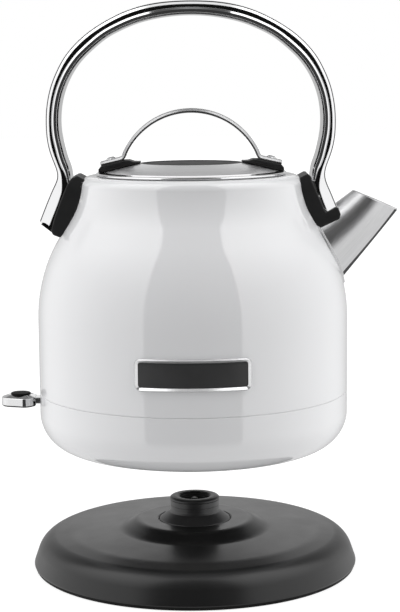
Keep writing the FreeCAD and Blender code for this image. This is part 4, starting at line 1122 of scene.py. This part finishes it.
# ------------------------------------------------------------------ lid
def build_lid():
    # dish: polished rim, a fine step, brushed cone, rounded edge and a sunk flat top; the flat top is coloured
    # near-black, a painted dark reflection
    outer = [(0.0, 223.0), (27.5, 223.0, 0.4), (46.4, 218.5, 0.5), (47.6, 217.7, 0.3), (51.4, 217.7, 0.3), (51.9, 218.1, 0.35), (51.9, 218.75, 0.4),
             (51.3, 219.15, 0.5), (47.5, 219.65, 0.25), (47.2, 219.35, 0.15), (46.9, 219.7, 0.2), (28.6, 224.0, 0.7), (27.4, 224.05, 0.3),
             (27.0, 223.75, 0.15), (24.0, 223.75), (12.0, 223.75), (0.0, 223.75)]
    prof = section(outer, False, 10)
    dish = turned("lid_dish", prof, 160, False)
    me = dish.data
    mats = []
    for p in me.polygons:
        c = p.center / MM
        r = math.hypot(c[0], c[1])
        # the sunk flat top: painted dark reflection
        if c[2] > 223.5 and r < 27.6 and p.normal.z > 0.2:
            mats.append(1)
        elif r > 47.3:
            mats.append(2)
        else:
            mats.append(0)
    me.materials.append(M_LID)
    me.materials.append(M_LID_TOP_PAINTED_REFLECTION)
    me.materials.append(M_POLISH)
    me.polygons.foreach_set("material_index", mats)
    wall = turned("lid_wall", [(45.6, 206.0, 0.4), (46.8, 206.0, 0.4), (46.8, 208.6), (46.8, 213.0), (46.8, 218.2, 0.1), (45.6, 218.2, 0.1)], 128)
    gasket = turned("lid_gasket", [(46.75, 208.9, 0.2), (47.7, 208.9, 0.3), (48.9, 210.1, 0.5), (48.9, 211.4, 0.5), (47.9, 211.9, 0.3), (48.2, 212.5, 0.3),
                                   (47.6, 212.8, 0.3), (46.75, 212.8, 0.2)], 128)
    # pads: wedges on the cone under each end of the strap
    pads = []
    for sx in (1, -1):
        it = [(26.6, 224.6, 0.35), (29.0, 224.05, 0.4), (46.9, 219.85, 0.5), (50.3, 219.45, 0.45), (50.75, 220.2, 0.5), (50.2, 221.4, 0.6), (48.9, 223.0, 0.6),
              (36.5, 225.9, 1.5), (33.6, 226.0, 1.0), (31.0, 225.15, 1.4), (28.6, 225.05, 0.8)]
        if sx < 0:
            it = [(-p[0],) + p[1:] for p in it][::-1]
        prof = section(it, True, 15)
        V, F, N = slab_data(prof, 8.0, 0.8, 5)
        # plan view: the inner end narrows
        f = np.clip((np.abs(V[:, 0]) - 26.0) / 9.0, 0, 1)
        V[:, 1] *= 0.55 + 0.45 * np.sqrt(f)
        # the outer end follows the rim's round plan
        reach = np.sqrt(np.maximum(50.8 ** 2 - V[:, 1] ** 2, 0))
        over = np.maximum(np.abs(V[:, 0]) - reach, 0)
        V[:, 0] -= np.sign(V[:, 0]) * over
        # and the underside follows the cone
        r = np.hypot(V[:, 0], V[:, 1])
        cone = np.where(r < 28.6, 224.0, np.where(r < 47.0, 224.0 - (r - 28.6) * 4.4 / 18.4, 219.55))
        V[:, 2] = np.where(V[:, 2] < cone, cone, V[:, 2])
        pads.append((V, F, N))
    pad = make("lid_pad_pair", *merge_data(pads))
    # strap: one bent strip of steel
    R, cz = 40.05, 212.4
    line = [(49.35, 223.98), (46.0, 224.75), (42.0, 225.68)]
    foot = np.array([39.0, 226.4])
    a0 = 27.5
    up = np.array([R * math.cos(rad(a0)), cz + R * math.sin(rad(a0))])
    tan = np.array([-math.sin(rad(a0)), math.cos(rad(a0))])
    ctrl = foot + np.array([-0.974, 0.226]) * 2.7
    ctrl2 = up - tan * 2.6
    for k in range(13):
        t = k / 12
        p = (1 - t) ** 3 * foot + 3 * (1 - t) ** 2 * t * ctrl + 3 * (1 - t) * t * t * ctrl2 + t ** 3 * up
        line.append(tuple(p))
    for k in range(1, 48):
        a = rad(a0 + (180 - 2 * a0) * k / 48)
        line.append((R * math.cos(a), cz + R * math.sin(a)))
    half = len(line)
    mirror = [(-x, z) for x, z in line[:16]][::-1]
    L = np.array(line + mirror)
    T = line_ways(L)
    out = np.stack([T[:, 1], -T[:, 0]], 1)
    st = []
    for i in range(len(L)):
        e = min(abs(abs(L[i][0]) - 49.35), 5.0) if abs(L[i][0]) > 44 and L[i][1] < 226.5 else 5.0
        w = 6.25 * math.sqrt(max(1 - ((5.0 - e) / 5.0) ** 2 * 0.55, 0.05))
        ring = section([(-1.2, -w, 0.3), (-0.25, -w, 0.9), (1.1, -w + 1.15, 0.7), (1.1, w - 1.15, 0.7), (-0.25, w, 0.9), (-1.2, w, 0.3)], True, 12)
        st.append(((L[i][0], 0, L[i][1]), (out[i][0], 0, out[i][1]), (0, 1, 0), ring))
    strap = make("lid_bow", *sweep_data(st, 0.45))
    # dome screws with a cross recess, square to the strap's feet
    bolts = []
    for sx in (1, -1):
        ang = rad(13.2)
        az = np.array([sx * math.sin(ang), 0, math.cos(ang)])
        ax = np.array([math.cos(ang), 0, -sx * math.sin(ang)])
        o = np.array([sx * 43.6, 0, 226.15])
        prof = section([(0.0, -3.0), (1.4, -3.0, 0.2), (1.4, 0.0), (2.6, 0.0, 0.15), (2.75, 0.35, 0.2), ("arc", 0.0, -1.55, 3.35, 35, 62), (1.15, 1.3, 0.15),
                        (0.95, 1.0, 0.1), (0.0, 0.85)], False, 14)
        bolts.append(turn_data(prof, 40, False, frame_to(ax, (0, 1, 0), az, o)))
        for q in (0, 1):
            w = section([(-1.35, -0.28, 0.12), (1.35, -0.28, 0.12), (1.35, 0.28, 0.12), (-1.35, 0.28, 0.12)], True, 40)
            V, F, N = slab_data(w, 1.16, 0.05, 2, 0.8)
            X, Y = (ax, np.array([0, 1.0, 0])) if q == 0 else (np.array([0, 1.0, 0]), -ax)
            c, s = math.cos(0.6), math.sin(0.6)
            X2, Y2 = X * c + Y * s, -X * s + Y * c
            V2 = o + np.outer(V[:, 0], X2) + np.outer(V[:, 2], Y2) + np.outer(V[:, 1], az)
            N2 = np.outer(N[:, 0], X2) + np.outer(N[:, 2], Y2) + np.outer(N[:, 1], az)
            F = [f[::-1] for f in F]
            bolts.append((V2, F, N2))
    bolt = make("lid_bolts", *merge_data(bolts))
    return dish, wall, gasket, pad, strap, bolt


# ------------------------------------------------------------------ switch paddle
def build_paddle():
    cx = -95.9
    here = frame_to((1, 0, 0), (0, 1, 0), (0, 0, 1), (cx, 0, 0))
    side = [(-106.4, 5.3, 6.6), (-93.2, 9.75, 3.2), (-90.3, 8.5, 2.0), (-87.3, 4.9, 1.5)]
    plan = section([(x, -y, f) for x, y, f in side] + side[::-1], True, 6)
    levels = [(90.6, 1.2, 0.0, -1.0), (90.7, 0.6, 0.5, -0.87), (91.05, 0.18, 0.85, -0.53), (91.5, 0.05, 0.98, -0.2), (91.62, 0.02, 1.0, 0.0), (95.1, 0.1, 1.0, 0.03), (95.4, 0.2, 0.85, 0.52),
              (95.6, 0.5, 0.36, 0.93), (96.5, 3.0, 0.31, 0.95), (96.85, 3.6, 0.2, 0.98), (97.0, 4.1, 0.0, 1.0)]
    P2 = np.array([(q[0], q[1]) for q in plan])
    M2 = np.array([(q[2], q[3]) for q in plan])
    V, N, F = [], [], []
    m = len(plan)
    for z, inset, side_n, up_n in levels:
        Q = P2 - M2 * inset
        V += [(Q[i, 0], Q[i, 1], z) for i in range(m)]
        N += [(M2[i, 0] * side_n, M2[i, 1] * side_n, up_n) for i in range(m)]
    for r in range(len(levels) - 1):
        for i in range(m):
            j = (i + 1) % m
            if np.hypot(*(P2[i] - P2[j])) > 1e-6:
                F.append([r * m + i, r * m + j, (r + 1) * m + j, (r + 1) * m + i])
    single = [i for i in range(m) if np.hypot(*(P2[i] - P2[i - 1])) > 1e-6]
    F.append(single[::-1])
    F.append([(len(levels) - 1) * m + i for i in single])
    disc = (np.array(V), F, np.array(N))
    # neck: a tapered bar with rounded edges from under the paddle into the housing
    plan = section([(-92.0, -4.2, 0.8), (-76.0, -4.0, 1.0), (-76.0, 4.0, 1.0), (-92.0, 4.2, 0.8)], True, 12)
    V, F, N = slab_data(plan, 95.4, 0.7, 5, 91.7)
    V = V[:, [0, 2, 1]]
    N = N[:, [0, 2, 1]]
    F = [f[::-1] for f in F]
    hub_prof = section([(1.55, -6.9, 0.3), (3.4, -6.9, 0.4), (3.4, 6.9, 0.4), (1.55, 6.9, 0.3)], True, 15)
    hub = turn_data(hub_prof, 40, True, frame_to((1, 0, 0), (0, 0, 1), (0, -1, 0), (-76.0, 0, 93.4)))
    paddle = make("paddle_chrome", *merge_data([disc, (V, F, N), hub]))
    paddle.data.polygons.foreach_set("material_index", [1 if p.center.z < 0.09152 and p.center.x < -0.0865 and p.normal.z < 0.3 else 0 for p in paddle.data.polygons])
    ins = section([(0.0, 96.4), (5.45, 96.4, 0.1), (5.45, 97.45, 0.2), (5.15, 97.75, 0.25), (3.0, 97.88), (0.0, 97.92)], False, 12)
    button = turned("paddle_inlay", ins, 64, False, place=here)
    return paddle, button


# ------------------------------------------------------------------ power base
def build_base():
    cover = section([
        (86.6, 0.06, 0.2), (88.9, 0.06, 0.5), (90.0, 2.6, 1.5), (84.95, 17.15, 14.0), (69.0, 19.45, 50.0), (40.0, 20.98, 12.0), (32.0, 25.6, 9.0),
        (20.8, 25.6, 0.5), (20.2, 25.0, 0.3), (20.2, 23.4, 0.2), (34.0, 23.4, 0.8), (39.8, 19.8, 1.0), (60.0, 17.8, 4.0), (79.5, 15.96, 3.0), (85.15, 9.64, 4.0), (87.6, 3.0, 0.5)], True, 5)
    ob = turned("base_shell", cover, 200)
    # the base's bottom lip takes the near-black core plastic: a painted shadow line where its lower edge meets the
    # floor
    ob.data.polygons.foreach_set("material_index", [1 if p.center.z < 0.0016 and p.normal.z < 0.5 else 0 for p in ob.data.polygons])
    foot = turned("foot_strip", [(76.0, 0.0, 0.3), (84.0, 0.0, 0.3), (84.0, 1.0, 0.1), (76.0, 1.0, 0.1)], 128)
    post = turned("post_moulding", [
        (0.0, 20.6), (30.0, 20.6, 0.4), (30.0, 23.2, 0.4), (19.6, 23.2, 0.2), (19.6, 25.5, 0.5), (18.9, 26.1, 0.5), (14.2, 29.55, 1.2), (13.6, 30.6, 0.8), (13.6, 33.2, 0.05),
        (12.6, 33.2, 0.05), (10.0, 33.2, 0.2), (10.0, 37.2, 0.3), (8.1, 37.2, 0.2), (8.1, 32.6, 0.2), (0.0, 32.6)], 96, False)
    ring = turned("ring_moulding", [
        (10.1, 33.3, 0.15), (13.6, 33.3, 0.05), (13.6, 36.15, 0.12), (13.3, 36.3, 0.1), (13.3, 36.5, 0.1), (13.85, 36.7, 0.2), (13.85, 37.4, 0.7), (12.9, 38.15, 0.8), (11.2, 38.4, 0.8), (9.3, 38.25, 0.5), (8.7, 37.9, 0.3), (8.3, 37.5, 0.15), (10.1, 37.5, 0.15)], 96)
    pin = turned("post_contact", [
        (0.0, 32.65), (7.1, 32.65, 0.1), (7.1, 36.1, 0.15), (6.7, 36.1, 0.15), (6.7, 33.0, 0.1), (2.2, 33.0, 0.1), (2.0, 36.4, 0.5), (1.2, 37.0, 0.4), (0.0, 37.0)], 64, False)
    grom = section([(3.0, 81.0, 0.2), (5.1, 81.0, 0.3), (5.1, 83.0, 0.3), (4.25, 83.0, 0.1), (4.25, 88.4, 0.2), (4.9, 88.6, 0.3), (4.8, 89.5, 0.4), (3.5, 89.5, 0.4), (3.0, 89.0, 0.2)], True, 12)
    V, F, N = turn_data(grom, 56, True, frame_to((1, 0, 0), (0, 0, -1), (0, 1, 0), (0, 0, 8.0)))
    gland = make("gland_grommet", V, F, N)
    return ob, foot, post, ring, pin, gland


# ------------------------------------------------------------------ put the pieces together
finish_piece(build_shell(), "kettle", M_ENAMEL, ["body_shell"])
finish_piece(build_housing(), "kettle", M_ENAMEL, ["bottom_housing"])
finish_piece(build_spout(), "kettle", [M_SPOUT, M_KEEL_PAINTED_SHADE], ["spout"])
handle, core = build_handle()
finish_piece(handle, "kettle", M_CHROME, ["handle_arch"])
finish_piece(core, "kettle", M_CORE_AND_PAINTED_SHADE, [])
rear_b, front_b = build_brackets()
finish_piece(rear_b, "kettle", M_BLACK, ["rear_bracket"])
finish_piece(front_b, "kettle", M_BLACK, ["front_bracket"])
rim, field = build_plate()
finish_piece(rim, "kettle", M_FRAME, ["nameplate_bezel"])
finish_piece(field, "kettle", M_PLATE, ["nameplate_insert"])
dish, wall, gasket, pad, strap, bolt = build_lid()
finish_piece(dish, "lid", [M_LID, M_LID_TOP_PAINTED_REFLECTION, M_POLISH], ["lid_disc"])
finish_piece(wall, "lid", M_LID, ["lid_skirt"])
finish_piece(gasket, "lid", M_GREYRUB, ["lid_seal"])
finish_piece(pad, "lid", M_BLACK, ["lid_pads"])
finish_piece(strap, "lid", M_STRAP, ["lid_strap"])
finish_piece(bolt, "lid", M_CHROME, ["lid_screws"])
paddle, inlay = build_paddle()
finish_piece(paddle, "switch", [M_PADDLE, M_CORE_AND_PAINTED_SHADE], ["switch_lever"])
finish_piece(inlay, "switch", M_INLAY, ["lever_insert"])
base, foot, post, ring, pin, gland = build_base()
finish_piece(base, "power_base", [M_BASE, M_CORE_AND_PAINTED_SHADE], ["base_cover"])
finish_piece(foot, "power_base", M_RUBBER, ["foot_ring"])
finish_piece(post, "power_base", M_POST_TONE_AND_PAINTED_LIGHT, ["connector_post"])
finish_piece(ring, "swivel_ring", M_POST_TONE_AND_PAINTED_LIGHT, ["swivel_ring"])
finish_piece(pin, "power_base", M_POST_TONE_AND_PAINTED_LIGHT, ["contact_pin"])
finish_piece(gland, "power_base", M_RUBBER, ["cord_gland"])

for ob in (base, foot, rear_b, front_b):
    ob.visible_glossy = False
for ob in (rear_b, front_b):
    ob.visible_diffuse = False

CARRIED = {
    "heater_plate": M_PLATEIN, "plate_seal": M_GREYRUB, "heat_spreader": M_ALU, "heating_element": M_ZINC, "steam_tube": M_NATURAL,
    "control_unit": M_NATURAL, "socket_contact": M_BRASS, "bimetal_discs": M_ZINC, "underside_cover": M_BASE, "cover_screws": M_ZINC,
    "handle_screws": M_ZINC, "spout_strainer": M_PLATEIN, "switch_pin": M_ZINC, "switch_spring": M_ZINC, "rocker_pin": M_ZINC,
    "trip_rocker": M_NATURAL, "base_floor": M_BASE, "base_screws": M_ZINC, "contact_ring": M_BRASS, "terminal_block": M_NATURAL, "lead_wires": M_WIRE,
}
for n, m in CARRIED.items():
    ob = NODES[n]
    ob.data.materials.clear()
    ob.data.materials.append(m)

# ------------------------------------------------------------------ floor
bm = bmesh.new()
bmesh.ops.create_circle(bm, cap_ends=True, cap_tris=False, segments=96, radius=6.0)
me = bpy.data.meshes.new("floor")
bm.to_mesh(me)
bm.free()
floor = bpy.data.objects.new("floor", me)
SCENE.collection.objects.link(floor)
k = Mat("pale_floor")
k.b.inputs["Specular IOR Level"].default_value = 0.0
k.color(k.ramp(k.noise(3, 3, 0.5), [(0.3, (0.30, 0.30, 0.302)), (0.7, (0.32, 0.32, 0.322))]))
k.b.inputs["Roughness"].default_value = 0.9
k.b.inputs["Emission Color"].default_value = (1, 1, 1, 1)
k.b.inputs["Emission Strength"].default_value = 0.82
me.materials.append(k.m)
floor.location.z = -0.0002
floor.visible_glossy = False
floor.visible_diffuse = False
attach(floor, "power_base")

# ------------------------------------------------------------------ studio light: a surround with two wide soft sides and a dark front
world = bpy.data.worlds.new("studio")
SCENE.world = world
world.use_nodes = True
t = world.node_tree
t.nodes.clear()


def wn(kind, **kw):
    n = t.nodes.new(kind)
    for a, b in kw.items():
        setattr(n, a, b)
    return n


def wmath(op, a, b=None, clamp=False):
    n = wn("ShaderNodeMath", operation=op, use_clamp=clamp)
    for i, v in enumerate((a, b)):
        if v is None:
            continue
        if isinstance(v, (int, float)):
            n.inputs[i].default_value = v
        else:
            t.links.new(v, n.inputs[i])
    return n.outputs[0]


def wramp(fac, stops):
    n = wn("ShaderNodeValToRGB")
    el = n.color_ramp.elements
    while len(el) > 1:
        el.remove(el[-1])
    for i, (p, c) in enumerate(stops):
        e = el[0] if i == 0 else el.new(p)
        e.position = p
        e.color = (c, c, c, 1)
    t.links.new(fac, n.inputs["Fac"])
    return n.outputs["Color"]


co = wn("ShaderNodeTexCoord").outputs["Generated"]
sep = wn("ShaderNodeSeparateXYZ")
t.links.new(co, sep.inputs[0])
az = wmath("ABSOLUTE", wmath("ARCTAN2", sep.outputs[0], wmath("MULTIPLY", sep.outputs[1], -1.0)))
az = wmath("DIVIDE", az, PI)
# light by bearing from the front: dark front, bright sides, quieter back
S = 1 / 2.6
around = wramp(az, [(0.0, 0.05 * S), (0.195, 0.07 * S), (0.203, 1.25 * S), (0.33, 1.31 * S), (0.50, 1.44 * S), (0.66, 1.28 * S), (0.76, 0.95 * S), (0.84, 0.56 * S), (0.92, 0.62 * S), (0.97, 1.1 * S), (1.0, 1.1 * S)])


def wease(value, lo, hi):
    n = wn("ShaderNodeMapRange", interpolation_type="SMOOTHSTEP")
    t.links.new(value, n.inputs["Value"])
    n.inputs["From Min"].default_value = lo
    n.inputs["From Max"].default_value = hi
    return n.outputs["Result"]


def wblend(a, fac, tone):
    n = wn("ShaderNodeMix", data_type="RGBA")
    t.links.new(fac, n.inputs["Factor"])
    t.links.new(a, n.inputs["A"])
    n.inputs["B"].default_value = (tone * S, tone * S, tone * S, 1)
    return n.outputs["Result"]


# the sides grow brighter with height, the back is dark above the horizon, and light comes from below
climb = wn("ShaderNodeMix", data_type="RGBA", blend_type="MULTIPLY")
climb.inputs["Factor"].default_value = 1.0
t.links.new(around, climb.inputs["A"])
t.links.new(wramp(sep.outputs[2], [(0.0, 0.5), (0.35, 0.52), (0.85, 0.95), (1.0, 0.95)]), climb.inputs["B"])
twice = wn("ShaderNodeMix", data_type="RGBA", blend_type="ADD")
twice.inputs["Factor"].default_value = 1.0
t.links.new(climb.outputs["Result"], twice.inputs["A"])
t.links.new(climb.outputs["Result"], twice.inputs["B"])
surround = twice.outputs["Result"]
surround = wblend(surround, wmath("MULTIPLY", wease(az, 0.86, 0.93), wmath("SUBTRACT", 1.0, wease(sep.outputs[2], 0.10, 0.20))), 0.55)
surround = wblend(surround, wmath("MULTIPLY", wease(az, 0.62, 0.74), wease(sep.outputs[2], 0.34, 0.42)), 0.6)
surround = wblend(surround, wmath("MULTIPLY", wease(az, 0.62, 0.74), wease(sep.outputs[2], 0.50, 0.62)), 0.3)
surround = wblend(surround, wmath("SUBTRACT", 1.0, wease(sep.outputs[2], -0.66, -0.26)), 1.05)
surround = wblend(surround, wease(sep.outputs[2], 0.945, 0.975), 1.2)
bg = wn("ShaderNodeBackground")
t.links.new(surround, bg.inputs["Color"])
bg.inputs["Strength"].default_value = 2.6
clear = wn("ShaderNodeBackground")
clear.inputs["Color"].default_value = (1, 1, 1, 1)
clear.inputs["Strength"].default_value = 1.0
path = wn("ShaderNodeLightPath")
pick = wn("ShaderNodeMixShader")
t.links.new(path.outputs["Is Camera Ray"], pick.inputs[0])
t.links.new(bg.outputs[0], pick.inputs[1])
t.links.new(clear.outputs[0], pick.inputs[2])
out = wn("ShaderNodeOutputWorld")
t.links.new(pick.outputs[0], out.inputs[0])

SCENE.view_settings.view_transform = "Standard"
SCENE.view_settings.look = "None"
SCENE.view_settings.exposure = 0.0
SCENE.view_settings.gamma = 1.0

# ------------------------------------------------------------------ camera
cam = bpy.data.cameras.new("camera")
cam.lens = 99.92
cam.sensor_width = 36.0
cam.sensor_fit = "AUTO"
cam.clip_start, cam.clip_end = 0.02, 60.0
cam_ob = bpy.data.objects.new("camera", cam)
SCENE.collection.objects.link(cam_ob)
turn = Matrix.Rotation(-0.0024, 4, "Z") @ Matrix.Rotation(PI / 2 - 0.1388, 4, "X") @ Matrix.Rotation(-0.0095, 4, "Z")
cam_ob.matrix_world = Matrix.Translation((0.001805, -0.92787, 0.27472)) @ turn
SCENE.camera = cam_ob
